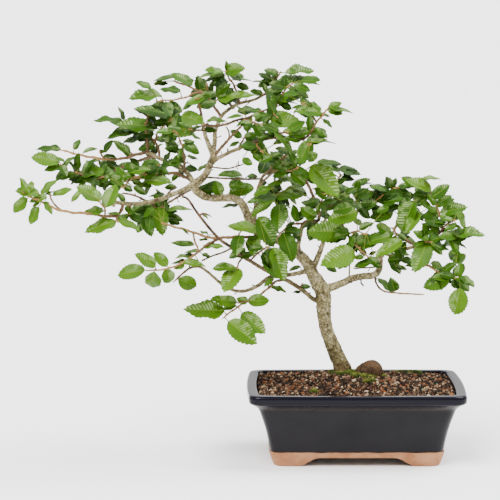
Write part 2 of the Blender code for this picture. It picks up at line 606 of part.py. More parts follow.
def rounded_rectangle(half_x, half_y, corner, bow):
    """Points round a rectangle with arcs at its corners and sides that bow outwards."""
    points = []
    for turn, (side_x, side_y) in enumerate(((1, 1), (-1, 1), (-1, -1), (1, -1))):
        for step in range(CORNER_STEPS + 1):
            angle = math.radians(90 * (turn + step / CORNER_STEPS))
            points.append((side_x * (half_x - corner) + corner * math.cos(angle),
                           side_y * (half_y - corner) + corner * math.sin(angle)))
        if turn % 2 == 0:
            for share in (0.5, 0.0, -0.5):
                points.append((side_x * share * half_x, side_y * (half_y + bow * (1 - share * share))))
        else:
            points.append((side_x * (half_x + bow), 0.0))
    return points


def loft(name, loops, collection):
    """A closed body through loops of the same number of points, capped at both ends."""
    shape = bmesh.new()
    rings = [[shape.verts.new(point) for point in loop] for loop in loops]
    for low, high in zip(rings, rings[1:]):
        for i in range(len(low)):
            j = (i + 1) % len(low)
            shape.faces.new((low[i], low[j], high[j], high[i]))
    shape.faces.new(rings[0][::-1])
    shape.faces.new(rings[-1])
    return from_bmesh(name, shape, collection)


def pot_loop(half, height, corner, bow=0.0):
    points = rounded_rectangle(half, half - DEPTH_LESS, corner, bow)
    return [((POT_X + x) * MM, y * MM, height * MM) for x, y in points]


def wall_bow(height):
    """The sides bow out more towards the rim."""
    return RIM_BOW * height / RIM_TOP


def arch_cutter(name, half_span, across, collection):
    """The ogee arch between two bracket feet, as a prism that runs through the pot along Y or, across, X."""
    side = []
    for i in range(ARCH_STEPS + 1):
        share = i / ARCH_STEPS
        rise = share * share * (3 - 2 * share)
        side.append((half_span - ARCH_RISE_LENGTH * share, FOOT_HEIGHT * rise))
    outline = [(half_span, -PAST)] + side + [(-x, z) for x, z in reversed(side)] + [(-half_span, -PAST)]
    reach = 2 * RIM_HALF
    shape = bmesh.new()
    ends = []
    for far in (-reach, reach):
        spots = [(far, x, z) if across else (x, far, z) for x, z in outline]
        ends.append([shape.verts.new(((POT_X + x) * MM, y * MM, z * MM)) for x, y, z in spots])
    near, far = ends
    for i in range(len(near)):
        j = (i + 1) % len(near)
        shape.faces.new((near[i], near[j], far[j], far[i]))
    shape.faces.new(near[::-1])
    shape.faces.new(far)
    return from_bmesh(name, shape, collection)


def cylinder(name, centre, radius, low, high, sides, collection):
    shape = bmesh.new()
    bmesh.ops.create_cone(shape, cap_ends=True, segments=sides, radius1=radius * MM, radius2=radius * MM,
                          depth=(high - low) * MM)
    bmesh.ops.translate(shape, verts=shape.verts, vec=(centre[0] * MM, centre[1] * MM, (low + high) / 2 * MM))
    return from_bmesh(name, shape, collection)


def box(name, centre, size, collection):
    shape = bmesh.new()
    bmesh.ops.create_cube(shape, size=MM)
    bmesh.ops.scale(shape, verts=shape.verts, vec=size)
    bmesh.ops.translate(shape, verts=shape.verts, vec=[value * MM for value in centre])
    return from_bmesh(name, shape, collection)


def build_pot(parts, cutters):
    """Glazed stoneware: a rectangular tray with a rolled lip, on four bracket feet of bare clay."""
    loops = [pot_loop(half, height, CORNER, wall_bow(height)) for half, height in OUTER_WALL]
    loops += [pot_loop(half, height, INNER_CORNER, wall_bow(height)) for half, height in INNER_WALL]
    pot = loft("pot", loops, parts)
    foot_half_y = OUTER_WALL[0][0] - DEPTH_LESS
    side_span = foot_half_y - (OUTER_WALL[0][0] - ARCH_HALF)
    cut(pot, arch_cutter("arch_front", ARCH_HALF, False, cutters))
    cut(pot, arch_cutter("arch_side", side_span, True, cutters))
    inside = OUTER_WALL[0][0] - FOOT_WALL
    recess = [pot_loop(inside, height, INNER_CORNER) for height in (-PAST, FOOT_HEIGHT)]
    cut(pot, loft("recess", recess, cutters))
    for side in (-1, 1):
        centre = (POT_X + side * DRAIN_X, 0.0)
        low, high = FOOT_HEIGHT - PAST, FLOOR_TOP + PAST
        cut(pot, cylinder(f"drain_{side + 1}", centre, DRAIN_RADIUS, low, high, DRAIN_SIDES, cutters))
    pot.data.materials.append(material("clay_and_glaze", CLAY_AND_GLAZE))
    return applied(pot)


def build_screens(parts, cutters):
    """Plastic screens over the drain holes, which keep the soil in."""
    plastic = material("screen_plastic", SCREEN_PLASTIC)
    made = []
    for side, word in ((-1, "left"), (1, "right")):
        x = POT_X + side * DRAIN_X
        middle = FLOOR_TOP + GAP + SCREEN_THICK / 2
        plate = box(f"drain_screen_{word}", (x, 0, middle), (SCREEN_SIDE, SCREEN_SIDE, SCREEN_THICK), parts)
        for row in (-1, 0, 1):
            slot = box(f"slot_{word}_{row + 1}", (x, row * SLOT_PITCH, middle), SLOT_SIZE, cutters)
            cut(plate, slot)
        plate.data.materials.append(plastic)
        made.append(applied(plate))
    return made


def inner_half(height):
    """Half the length of the pot's inside at a height."""
    heights = [level for _, level in reversed(INNER_WALL)]
    halves = [half for half, _ in reversed(INNER_WALL)]
    return float(np.interp(height, heights, halves))


def build_soil(parts, cutters, stump, stone):
    """Gritty soil that fills the pot and rises to a mound at the trunk."""
    bottom = FLOOR_TOP + 2 * GAP + SCREEN_THICK
    levels = [bottom, 30.0, 72.0, 83.0, SOIL_EDGE]
    loops = []
    for height in levels:
        half = inner_half(height) - SOIL_GAP
        loops.append(pot_loop(half, height, INNER_CORNER, wall_bow(height)))
    edge = loops[-1]
    for ring in range(1, SOIL_RINGS + 1):
        share = ring / (SOIL_RINGS + 1)
        rise = share * share * (3 - 2 * share)
        height = (SOIL_EDGE + (SOIL_MOUND - SOIL_EDGE) * rise) * MM
        loops.append([(x + (stump.x - x) * share, y + (stump.y - y) * share, height) for x, y, _ in edge])
    soil = loft("soil", loops, parts)
    centre = (stump.x / MM, stump.y / MM)
    low, high = STUMP_BOTTOM - GAP, SOIL_MOUND + PAST
    cut(soil, cylinder("trunk_hole", centre, STUMP_RADIUS + GAP, low, high, HOLE_SIDES, cutters))
    cut(soil, egg("stone_dent", stone, [half + STONE_GAP for half in STONE_HALF], cutters))
    soil.data.materials.append(material("soil_grit", SOIL_GRIT))
    return applied(soil)


def egg(name, centre, half, collection):
    """An egg-shaped body, with the same facets whatever its size."""
    shape = bmesh.new()
    bmesh.ops.create_uvsphere(shape, u_segments=12, v_segments=8, radius=MM)
    for vert in shape.verts:
        blunt = 1.0 - STONE_BLUNT * vert.co.x / MM
        vert.co = (vert.co.x * half[0], vert.co.y * half[1] * blunt, vert.co.z * half[2] * blunt)
    bmesh.ops.translate(shape, verts=shape.verts, vec=centre)
    return from_bmesh(name, shape, collection)


def build_stone(parts, centre):
    stone = egg("stone", centre, STONE_HALF, parts)
    stone.data.materials.append(material("stone_brown", STONE_BROWN))
    return stone


def build_wood(parts, stump):
    """The trunk on its buried stump, with its bare limbs and twigs, in one piece."""
    points = [Vector((stump.x, stump.y, STUMP_BOTTOM * MM)), stump + Vector((0, 0, STUMP_ABOVE * MM))]
    points += [placed(x, z, depth) for x, z, depth, _ in TRUNK]
    radii = [STUMP_RADIUS, STUMP_RADIUS] + [radius for *_, radius in TRUNK]
    pieces = [tube("trunk", points, radii, TRUNK_ROUNDNESS, parts)]
    for i, limb in enumerate(LIMBS):
        points = [placed(*spot) for spot in limb.route]
        thick = 1 if limb.foot_radius > THICK_STEM else 0
        pieces.append(tube(f"limb_{i}", points, even_radii(limb, len(points)), thick, parts))
    wood = fused("trunk_and_branches", pieces, parts)
    wood.data.materials.append(material("bark", BARK))
    return wood


def leaf_shape(foot, tip, seen, turn, width, margin):
    """Corners and triangles of one leaf: a thin plate folded along its midrib and arched to its tip.

    The plate is split into the same triangles above and below. The share of its width that is seen sets
    how far it turns from the front to the sky.
    """
    along = (tip - foot).normalized()
    length = (tip - foot).length
    to_front = Vector((0, -1, 0.12))
    facing = (to_front - along * to_front.dot(along)).normalized()
    up = along.cross(facing)
    if up.z < 0:
        up = -up
    angle = math.acos(seen) + math.radians(turn)
    normal = facing * math.cos(angle) + up * math.sin(angle)
    across = normal.cross(along)
    neck = (LEAF_NECK * MM + margin) / length
    reach = 1 + margin / length
    edge = [(0.0, neck)]
    edge += [(share, half * width * reach) for share, half in LEAF_EDGE]
    flat = [(share, half) for share, half in edge] + [(reach, 0.0)]
    flat += [(share, -half) for share, half in reversed(edge)] + [(LEAF_MIDDLE, 0.0)]
    half_thick = LEAF_THICK * MM / 2 + margin
    corners = []
    for side in (1, -1):
        for share, half in flat:
            rise = LEAF_FOLD * abs(half) - LEAF_ARCH * share * share
            spot = foot + along * (share * length) + across * (half * length)
            corners.append(spot + normal * (rise * length + side * half_thick))
    count = len(flat)
    middle, last = count - 1, count - 2
    top = [(i, (i + 1) % (last + 1), middle) for i in range(last + 1)]
    faces = list(top) + [tuple(count + i for i in reversed(face)) for face in top]
    for i in range(last + 1):
        j = (i + 1) % (last + 1)
        faces += [(i, count + i, count + j), (i, count + j, j)]
    return corners, faces


def leaf_foot(route, tip, bare):
    """Where on its shoot a leaf grows: back from the point nearest to its tip by what its length leaves."""
    spots = np.array(route, float)
    steps = np.linalg.norm(np.diff(spots, axis=0), axis=1)
    lengths = np.concatenate([[0.0], np.cumsum(steps)])
    along = np.arange(bare, lengths[-1] + 0.5, 0.5)
    trail = np.stack([np.interp(along, lengths, spots[:, i]) for i in range(3)], axis=1)
    away = np.hypot(trail[:, 0] - tip[0], trail[:, 1] - tip[1])
    nearest = int(away.argmin())
    back = math.sqrt(max(LEAF_REACH ** 2 - away[nearest] ** 2, 0.0))
    return trail[int(np.searchsorted(along, max(along[nearest] - back, bare)).clip(0, len(along) - 1))]


def blade_faces(faces):
    """The faces of a leaf without those that meet its foot, at the first and last corners of its outline."""
    count = 2 * (1 + len(LEAF_EDGE)) + 2
    stalk = {0, count - 2, count, 2 * count - 2}
    return [face for face in faces if not stalk & set(face)]


def object_tree(piece):
    mesh = piece.data
    corners = [vert.co.copy() for vert in mesh.vertices]
    return BVHTree.FromPolygons(corners, [tuple(face.vertices) for face in mesh.polygons])


def clear_leaf(shoot, leaf, bare, neighbours, leaves):
    """Corners and faces of the first try at a leaf that is clear of what was built before, or None.

    Leaves of one stem may meet at their feet, where they grow together, but their blades stay apart.
    """
    x, z, seen = leaf
    draw = random.Random(f"{x} {z}")
    foot_x, foot_z, depth = leaf_foot(shoot.route, (x, z), bare)
    foot = placed(foot_x, foot_z, depth)
    reach = math.hypot(x - foot_x, z - foot_z)
    width = LEAF_WIDTH * draw.uniform(0.92, 1.08)
    side = draw.choice((-1, 1))
    for size, lean, turn in TRIES:
        tip = placed(x, z, depth + side * lean * LEAF_LEAN * reach)
        tip = foot + (tip - foot) * size
        corners, faces = leaf_shape(foot, tip, seen, turn, width, CLEARANCE * MM)
        whole = BVHTree.FromPolygons(corners, faces)
        blade = BVHTree.FromPolygons(corners, blade_faces(faces))
        if any(whole.overlap(tree) for tree in neighbours) or any(blade.overlap(tree) for tree in leaves):
            continue
        return leaf_shape(foot, tip, seen, turn, width, 0.0)
    return None


def build_spray(name, shoots, parts, wood_tree, neighbours, leaf_material):
    """A leafy stem in one body: its shoots, and the leaves that find room."""
    pieces = []
    leaves = []
    for number, shoot in enumerate(shoots):
        points = [placed(*spot) for spot in shoot.route]
        radii = even_radii(shoot, len(points))
        bare = BARE_FOOT
        if number == 0:
            points, radii = seated_route(points, radii, wood_tree)
            bare = BARE_FIRST
        thick = 1 if radii[0] > THICK_STEM else 0
        pieces.append(tube(f"{name}_stem_{number}", points, radii, thick, parts))
        for leaf in shoot.leaves:
            found = clear_leaf(shoot, leaf, bare, neighbours, leaves)
            if not found:
                continue
            corners, faces = found
            shape = bmesh.new()
            verts = [shape.verts.new(corner) for corner in corners]
            for face in faces:
                shape.faces.new([verts[i] for i in face])
            pieces.append(from_bmesh(f"{name}_leaf_{len(leaves)}", shape, parts))
            leaves.append(BVHTree.FromPolygons(corners, blade_faces(faces)))
    spray = fused(name, pieces, parts)
    spray.data.materials.append(leaf_material)
    return spray


def main():
    for old in list(bpy.data.objects):
        bpy.data.objects.remove(old)
    parts = bpy.data.collections.new("korean_hornbeam_bonsai")
    cutters = bpy.data.collections.new("cutters")
    for collection in (parts, cutters):
        bpy.context.scene.collection.children.link(collection)
    stump = placed(*TRUNK_FOOT)
    stone = placed(*STONE_AT)
    pot = build_pot(parts, cutters)
    screens = build_screens(parts, cutters)
    soil = build_soil(parts, cutters, stump, stone)
    stone_piece = build_stone(parts, stone)
    wood = build_wood(parts, stump)
    wood_tree = object_tree(wood)
    neighbours = [wood_tree]
    leaf_material = material("leaf_green", LEAF_GREEN)
    sprays = []
    for name, shoots in SPRAYS.items():
        spray = build_spray(name, shoots, parts, wood_tree, neighbours, leaf_material)
        neighbours.append(object_tree(spray))
        sprays.append(spray)
    pieces = [pot, *screens, soil, stone_piece, wood, *sprays]
    corners = np.array([piece.matrix_world @ vert.co for piece in pieces for vert in piece.data.vertices])
    middle = (corners.min(axis=0) + corners.max(axis=0)) / 2
    origin = bpy.data.objects.new("bonsai_origin", None)
    parts.objects.link(origin)
    origin.location = (-middle[0], -middle[1], -corners[:, 2].min())
    for piece in pieces:
        piece.parent = origin


main()
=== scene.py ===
"""Looks of the korean hornbeam bonsai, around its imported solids, in metres and +Z up.

The pot, soil, stone, wood and leafy stems are each a finer mesh in the place of their solid. Routes and leaf
tips are given as in the solids: x and z in millimetres as they are seen from the front, on the upright plane
through the pot's middle, and the depth behind that plane.
"""

import math
from collections import namedtuple

import bpy
import numpy as np
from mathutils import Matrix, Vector


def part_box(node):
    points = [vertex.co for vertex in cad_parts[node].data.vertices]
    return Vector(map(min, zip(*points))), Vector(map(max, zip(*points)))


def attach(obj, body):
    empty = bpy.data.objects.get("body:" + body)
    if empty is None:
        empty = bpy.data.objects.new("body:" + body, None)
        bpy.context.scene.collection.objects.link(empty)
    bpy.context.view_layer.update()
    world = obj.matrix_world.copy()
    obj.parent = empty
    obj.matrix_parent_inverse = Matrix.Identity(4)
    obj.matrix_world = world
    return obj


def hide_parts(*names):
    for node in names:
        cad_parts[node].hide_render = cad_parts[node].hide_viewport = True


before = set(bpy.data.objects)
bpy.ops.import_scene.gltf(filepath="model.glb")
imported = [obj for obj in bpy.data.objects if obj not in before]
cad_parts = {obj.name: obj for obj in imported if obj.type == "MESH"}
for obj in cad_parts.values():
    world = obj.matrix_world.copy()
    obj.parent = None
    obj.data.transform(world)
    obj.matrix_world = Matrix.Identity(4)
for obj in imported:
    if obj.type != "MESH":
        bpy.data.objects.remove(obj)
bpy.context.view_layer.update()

# The pot is slab-built stoneware: a tray with flared walls, a rolled lip and four bracket feet cut from the
# foot ring by ogee arches. A satin blue-black glaze covers it down to a foot of bare pinkish clay, and two
# holes in the floor let the water out.
MM = 0.001

# Sizes are in millimetres. SEEN_POT_X is where the pot's middle is seen. A half depth is its half length
# less DEPTH_LESS. RIM_BOW is how far the sides bow out at the rim.
SEEN_POT_X = 124.5
DEPTH_LESS = 33.5
CORNER = 13.0
INNER_CORNER = 6.0
RIM_TOP = 87.5
RIM_BOW = 3.0
ARCH_HEIGHT = 10.4
ARCH_RISE = 29.0
LONG_ARCH = 70.0
SHORT_ARCH = 36.5
FOOT_HALF = 97.0
FOOT_FLARE = 5.096
FOOT_BEVEL = 0.588
FOOT_INSIDE = 89.0
INSIDE_BEVEL = 0.6
RECESS_TOP = 10.6
BAND_TOP = 15.8
FLOOR_TOP = 18.0
DRAIN_X = 50.0
DRAIN_RADIUS = 9.0
DRAIN_REACH = 4.0
DRAIN_SIDES = 36
LONG_STEPS, SHORT_STEPS, CORNER_STEPS = 56, 36, 8
FILLET_STEPS = 5
FOOT_ROWS = 6
POT_CRISP = 50.0

# Heights in metres between which each change of the glaze is made, and the edge of the painted shade on the
# clay in the recess under the pot. The cove's paler band is partly thin glaze and partly a painted
# reflection.
GLAZE_EDGE = (0.0178, 0.0183)
BROWN_EDGE = (0.0180, 0.0205)
COVE = (0.0695, 0.0725)
LIP = (0.0742, 0.0764)
RECESS_SHADE_EDGE = (0.0150, 0.0160)

# Half length, height and fillet radius, from the floor inside, over the lip, to the top of the clay band.
# Seen from above, the first INSIDE_BENDS of its bends have the tighter corners of the hollow.
INSIDE_BENDS = 4
POT_PROFILE = (
    (94.0, 18.0, 4.0), (98.0, 30.0, 12.0), (107.8, 72.0, 12.0), (112.2, 83.0, 6.0), (114.4, 87.3, 1.6),
    (124.4, 87.5, 2.2), (126.2, 84.6, 3.0), (125.6, 77.6, 2.4), (119.8, 74.2, 3.5), (114.6, 69.8, 6.0),
    (112.0, 62.0, 12.0), (105.6, 42.0, 40.0), (101.0, 17.8, 0.5), (101.5, 17.3, 0.3), (102.2, 16.9, 0.7),
)

pot_low, pot_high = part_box("pot")
pot_middle = (pot_low + pot_high) / 2
shift = np.array([pot_middle.x - SEEN_POT_X * MM, pot_middle.y, 0.0])


def mesh_piece(name, corners, faces, smooth=True):
    """A mesh from an array of corners, in metres, and arrays of faces of one size each."""
    mesh = bpy.data.meshes.new(name)
    mesh.vertices.add(len(corners))
    mesh.vertices.foreach_set("co", np.asarray(corners, np.float32).ravel())
    sizes = np.concatenate([np.full(len(group), group.shape[1]) for group in faces])
    mesh.loops.add(int(sizes.sum()))
    members = np.concatenate([group.ravel() for group in faces])
    mesh.loops.foreach_set("vertex_index", members.astype(np.int32))
    mesh.polygons.add(len(sizes))
    mesh.polygons.foreach_set("loop_start", np.concatenate([[0], np.cumsum(sizes)[:-1]]).astype(np.int32))
    mesh.polygons.foreach_set("use_smooth", np.full(len(sizes), smooth))
    mesh.update(calc_edges=True)
    piece = bpy.data.objects.new(name, mesh)
    bpy.context.scene.collection.objects.link(piece)
    return piece


def ring_faces(rows, columns):
    """Quads of a grid whose columns close into rings: corner i of row r joins i + 1 and row r + 1."""
    row, column = np.meshgrid(np.arange(rows - 1), np.arange(columns), indexing="ij")
    here = row * columns + column
    beside = row * columns + (column + 1) % columns
    return np.stack([here, beside, beside + columns, here + columns], axis=-1).reshape(-1, 4)


def capped_rings(rings):
    """Corners and faces of a closed body through rings of corners. A fan to its middle closes each end."""
    rows, columns = rings.shape[:2]
    corners = np.concatenate([rings.reshape(-1, 3), rings[:1].mean(axis=1), rings[-1:].mean(axis=1)])
    around = np.arange(columns)
    onward = (around + 1) % columns
    first = np.stack([onward, around, np.full(columns, rows * columns)], axis=1)
    last_row = (rows - 1) * columns
    last = np.stack([last_row + around, last_row + onward, np.full(columns, rows * columns + 1)], axis=1)
    return corners, [ring_faces(rows, columns), np.concatenate([first, last])]


def filleted(profile):
    """Points along a profile. Each bend becomes a parabola that starts and ends its radius from the bend, or
    nearly half way to the next one if that is closer."""
    spots = np.array([point[:2] for point in profile])
    points = [spots[0]]
    for before, bend, after, (_, _, radius) in zip(spots, spots[1:], spots[2:], profile[1:-1]):
        back, ahead = before - bend, after - bend
        far_back, far_ahead = np.linalg.norm(back), np.linalg.norm(ahead)
        start = bend + back / far_back * min(radius, 0.48 * far_back)
        end = bend + ahead / far_ahead * min(radius, 0.48 * far_ahead)
        for share in np.linspace(0, 1, FILLET_STEPS):
            points.append((1 - share) ** 2 * start + 2 * share * (1 - share) * bend + share ** 2 * end)
    points.append(spots[-1])
    return np.array(points)


def around_pot(half, corner, bow):
    """A ring of points round the pot: sides that bow out by bow * (1 - t^2), and arcs at the corners."""
    half_x, half_y = half, half - DEPTH_LESS
    arc = np.radians(np.linspace(0, 90, CORNER_STEPS + 1)[1:-1])
    long_t = np.linspace(1, -1, LONG_STEPS)
    short_t = np.linspace(-1, 1, SHORT_STEPS)
    right = np.stack([half_x + bow * (1 - short_t ** 2), short_t * (half_y - corner)], axis=1)
    back = np.stack([long_t * (half_x - corner), half_y + bow * (1 - long_t ** 2)], axis=1)
    turn = np.stack([half_x - corner + corner * np.cos(arc), half_y - corner + corner * np.sin(arc)], axis=1)
    half_ring = np.concatenate([right, turn, back, turn[::-1] * (-1, 1)])
    return np.concatenate([half_ring, -half_ring])


def arch_height(ring):
    """Height of the foot ring's lower edge: a smooth step up from each foot to the arch between two feet."""
    half = np.abs(ring).max(axis=0)
    on_long = half[1] - np.abs(ring[:, 1]) < half[0] - np.abs(ring[:, 0])
    into = np.where(on_long, LONG_ARCH - np.abs(ring[:, 0]), SHORT_ARCH - np.abs(ring[:, 1]))
    share = np.clip(into / ARCH_RISE, 0, 1)
    return ARCH_HEIGHT * share ** 2 * (3 - 2 * share)


def pot_rings():
    """Rings from the floor inside, over the lip and round the foot, to the top of the recess under the pot.

    Below the clay band a ring's height runs from the arch to the band's top, and it stands out from the foot
    by FOOT_FLARE * height / BAND_TOP.
    """
    rings = []
    for half, height in filleted(POT_PROFILE):
        corner = INNER_CORNER if len(rings) < INSIDE_BENDS * FILLET_STEPS else CORNER
        ring = around_pot(half, corner, RIM_BOW * height / RIM_TOP)
        rings.append(np.column_stack([ring, np.full(len(ring), height)]))
    for share in np.linspace(1, 0, FOOT_ROWS):
        ring = around_pot(FOOT_HALF, CORNER, 0.0)
        low = arch_height(ring)
        height = low + (BAND_TOP - low) * share
        out = FOOT_FLARE * height / BAND_TOP - (0.0 if share > 0 else FOOT_BEVEL)
        rings.append(np.column_stack([ring + np.sign(ring) * out[:, None], height]))
    for share in np.linspace(0, 1, FOOT_ROWS):
        ring = around_pot(FOOT_INSIDE + (0.0 if share > 0 else INSIDE_BEVEL), INNER_CORNER, 0.0)
        low = arch_height(ring)
        rings.append(np.column_stack([ring, low + (RECESS_TOP - low) * share]))
    rings = np.array(rings)
    rings[..., 0] += SEEN_POT_X
    return rings * MM + shift


def apply_modifiers(piece, cutters=()):
    """Works the piece's modifiers into its mesh, after one that takes out each cutter's shape, and removes
    the cutters."""
    for cutter in cutters:
        boolean = piece.modifiers.new(cutter.name, "BOOLEAN")
        boolean.operation = "DIFFERENCE"
        boolean.object = cutter
    graph = bpy.context.evaluated_depsgraph_get()
    mesh = bpy.data.meshes.new_from_object(piece.evaluated_get(graph))
    piece.modifiers.clear()
    piece.data = mesh
    for cutter in cutters:
        bpy.data.objects.remove(cutter)


class Shade:
    """A number or colour that varies over a surface: an output of a material's nodes, with arithmetic."""

    def __init__(self, socket):
        self.socket = socket

    def node(self, kind, settings=None, output=0, **inputs):
        """Adds a node to the same material, sets it up, fills its inputs, and gives one of its outputs."""
        tree = self.socket.id_data
        made = tree.nodes.new(kind)
        for name, value in (settings or {}).items():
            if name == "stops":
                elements = made.color_ramp.elements
                while len(elements) < len(value):
                    elements.new(0.5)
                for element, (place, colour) in zip(elements, value):
                    element.position = place
                    element.color = (*colour, 1.0)
            elif name == "interpolation":
                made.color_ramp.interpolation = value
            else:
                setattr(made, name, value)
        sockets = {socket.identifier: socket for socket in made.inputs}
        for name, value in inputs.items():
            if isinstance(value, Shade):
                tree.links.new(value.socket, sockets[name])
            else:
                sockets[name].default_value = value
        return Shade(made.outputs[output])

    def maths(self, operation, first, second=0.0):
        return self.node("ShaderNodeMath", {"operation": operation}, Value=first, Value_001=second)

    def __add__(self, other):
        return self.maths("ADD", self, other)

    def __sub__(self, other):
        return self.maths("SUBTRACT", self, other)

    def __rsub__(self, other):
        return self.maths("SUBTRACT", other, self)

    def __mul__(self, other):
        return self.maths("MULTIPLY", self, other)

    def __abs__(self):
        return self.maths("ABSOLUTE", self)

    __radd__ = __add__
    __rmul__ = __mul__


def finish_of(name, **constants):
    """A material, its Principled shader with the constants on its sockets, and its object coordinates."""
    made = bpy.data.materials.new(name)
    made.use_nodes = True
    shader = made.node_tree.nodes["Principled BSDF"]
    for socket, value in constants.items():
        shader.inputs[socket.replace("_", " ")].default_value = value
    place = Shade(made.node_tree.nodes.new("ShaderNodeTexCoord").outputs["Object"])
    return made, shader, place


def feed(shader, **links):
    """Links each of these to the shader's socket of that name."""
    for socket, shade in links.items():
        shader.id_data.links.new(shade.socket, shader.inputs[socket.replace("_", " ")])


def coordinate(place, axis):
    """The x, y or z of a place, for axis 0, 1 or 2."""
    return place.node("ShaderNodeSeparateXYZ", output=axis, Vector=place)


def noise(place, scale, detail=2.0, roughness=0.5):
    """Soft random grain with this many lumps a metre."""
    return place.node("ShaderNodeTexNoise", Vector=place, Scale=scale, Detail=detail, Roughness=roughness)


def step_between(value, low, high):
    """0 below low, 1 above high, and smooth between them."""
    return value.node("ShaderNodeMapRange", {"interpolation_type": "SMOOTHSTEP"}, Value=value,
                      **{"From Min": low, "From Max": high})


def blend(mask, first, second):
    """The first colour where the mask is 0, and the second where it is 1."""
    def colour(value):
        return value if isinstance(value, Shade) else (*value, 1.0)
    return mask.node("ShaderNodeMix", {"data_type": "RGBA"}, output=2, Factor_Float=mask,
                     A_Color=colour(first), B_Color=colour(second))


def bump(height, distance, strength=1.0):
    """The surface's normal, tilted as if it rose by distance, in metres, where the height is 1."""
    return height.node("ShaderNodeBump", Height=height, Distance=distance, Strength=strength)


def clay_and_glaze():
    """Blue-black satin glaze, and below it bare clay, with painted shade that darkens it in the recess under
    the pot. The glaze is thin and brown at its lower edge, paler and browner in the cove under the lip,
    partly thin glaze and partly a painted reflection, and glossier and bluer on the lip."""
    made, shader, place = finish_of("clay_and_glaze", IOR=1.5, Specular_IOR_Level=0.13)
    height = coordinate(place, 2)
    wander = noise(place, 55.0, 3.0) * 0.0016
    glazed = step_between(height + wander, *GLAZE_EDGE)
    cloud = noise(place, 18.0, 3.0)
    fine = noise(place, 900.0, 2.0)
    glaze = blend(step_between(cloud, 0.35, 0.7), (0.0044, 0.0038, 0.0050), (0.0072, 0.0062, 0.0080))
    specks = step_between(noise(place, 520.0, 1.0), 0.76, 0.80)
    glaze = blend(specks * 0.3, glaze, (0.05, 0.045, 0.04))
    brown_edge = 1 - step_between(height + wander, *BROWN_EDGE)
    glaze = blend(brown_edge * 0.5, glaze, (0.012, 0.007, 0.005))
    stain = step_between(noise(place, 45.0, 5.0, 0.6), 0.35, 0.68)
    clay = blend(stain, (0.270, 0.112, 0.050), (0.385, 0.192, 0.096))
    clay = blend(step_between(fine, 0.62, 0.72) * 0.4, clay, (0.17, 0.070, 0.036))
    # Painted shade: inside the foot ring and below the recess edge the clay is darkened nearly to black
    # olive.
    recess_shade = 1 - step_between(height, *RECESS_SHADE_EDGE)
    for axis, half in ((0, FOOT_INSIDE), (1, FOOT_INSIDE - DEPTH_LESS)):
        away = abs(coordinate(place, axis) - pot_middle[axis])
        recess_shade = recess_shade * (1 - step_between(away, half * MM - 0.0008, half * MM + 0.0006))
    clay = blend(recess_shade * 0.93, clay, (0.030, 0.026, 0.012))
    lip = step_between(height, *LIP)
    # The cove's band is paler and browner: partly thin brown glaze, partly a painted reflection.
    cove_thin_glaze_and_sheen = step_between(height + wander, *COVE) * (1 - lip)
    glaze = blend(cove_thin_glaze_and_sheen * 0.7, glaze, (0.0150, 0.0115, 0.0100))
    glaze = blend(lip * 0.9, glaze, (0.0012, 0.0009, 0.0044))
    clay_rough = 0.82 + noise(place, 200.0) * 0.1
    glaze_rough = 0.16 + cloud * 0.12 - lip * 0.12
    rough = clay_rough * (1 - glazed) + glaze_rough * glazed
    grain = noise(place, 1400.0, 2.0) * (1 - glazed) + noise(place, 60.0, 2.0) * 0.15 * glazed
    feed(shader, Base_Color=blend(glazed, clay, glaze), Roughness=rough, Normal=bump(grain, 0.0004, 0.6))
    return made


pot = mesh_piece("pot_glazed", *capped_rings(pot_rings()))
drain_cutters = []
turn = np.linspace(0, 2 * np.pi, DRAIN_SIDES, endpoint=False)
for side in (-1, 1):
    circle = np.stack([np.cos(turn), np.sin(turn)], axis=1) * DRAIN_RADIUS
    circle += (SEEN_POT_X + side * DRAIN_X, 0.0)
    heights = (RECESS_TOP - DRAIN_REACH, FLOOR_TOP + DRAIN_REACH)
    ends = [np.column_stack([circle, np.full(len(circle), height)]) for height in heights]
    drain_cutters.append(mesh_piece("drain_cutter", *capped_rings(np.array(ends) * MM + shift)))
apply_modifiers(pot, drain_cutters)
pot.data.shade_smooth()
pot.data.set_sharp_from_angle(angle=math.radians(POT_CRISP))
pot.data.materials.append(clay_and_glaze())
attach(pot, "root")
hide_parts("pot")


# A square of moulded black plastic mesh lies over each drain hole, under the soil, and keeps the grit in. No
# side shows it, so its solid stays as it is.
def screen_plastic():
    """Matt black plastic with a faint mould grain."""
    made, shader, place = finish_of("screen_plastic", Base_Color=(0.02, 0.02, 0.02, 1.0))
    grain = noise(place, 900.0, 2.0)
    feed(shader, Roughness=grain * 0.2 + 0.5, Normal=bump(grain, 0.0001))
    return made


plastic = screen_plastic()
for name in ("drain_screen_left", "drain_screen_right"):
    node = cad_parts[name]
    node.data.materials.clear()
    node.data.materials.append(plastic)

# The soil is a loose grit of bark, baked clay and pumice. It fills the pot and rises to a low mound where
# the trunk stands: one lumpy bed, and thousands of grains that lie on it.
SOIL_BOTTOM = 19.6
SOIL_GAP = 0.6
SOIL_EDGE = 84.0
SOIL_MOUND = 93.6
SOIL_ROWS = 70
BED_BELOW = 0.4
GRAINS = 7000

# A grain's size lies between small and large by the MOSTLY_SMALL power of a random number. Random factors
# shake its corners and stretch its sides, and a random share of its size raises it. The grains lie on the
# inner GRAIN_REACH of the mound's area.
GRAIN_SMALL, GRAIN_LARGE = 0.8, 2.9
MOSTLY_SMALL = 2.6
GRAIN_SHAKE = (0.78, 1.18)
GRAIN_STRETCH = (0.6, 1.15)
GRAIN_RISE = (-0.2, 0.45)
GRAIN_REACH = 0.985

# The bed's lumps: size in metres, seed and height in millimetres
BED_LUMPS = ((0.006, 3, 0.5), (0.0028, 4, 0.35))

# The pot's inner wall, its half length at each of these heights
WALL_HEIGHTS = (18.0, 30.0, 72.0, 83.0, 87.5)
WALL_HALVES = (94.0, 98.0, 107.8, 112.4, 114.7)

# The eye's x, y and z in front of the pot's middle, and the stump's seen x, seen z and depth
EYE = np.array([0.0, -2803.0, 594.0])
STUMP_SEEN = (109.5, 100.0, 35.0)


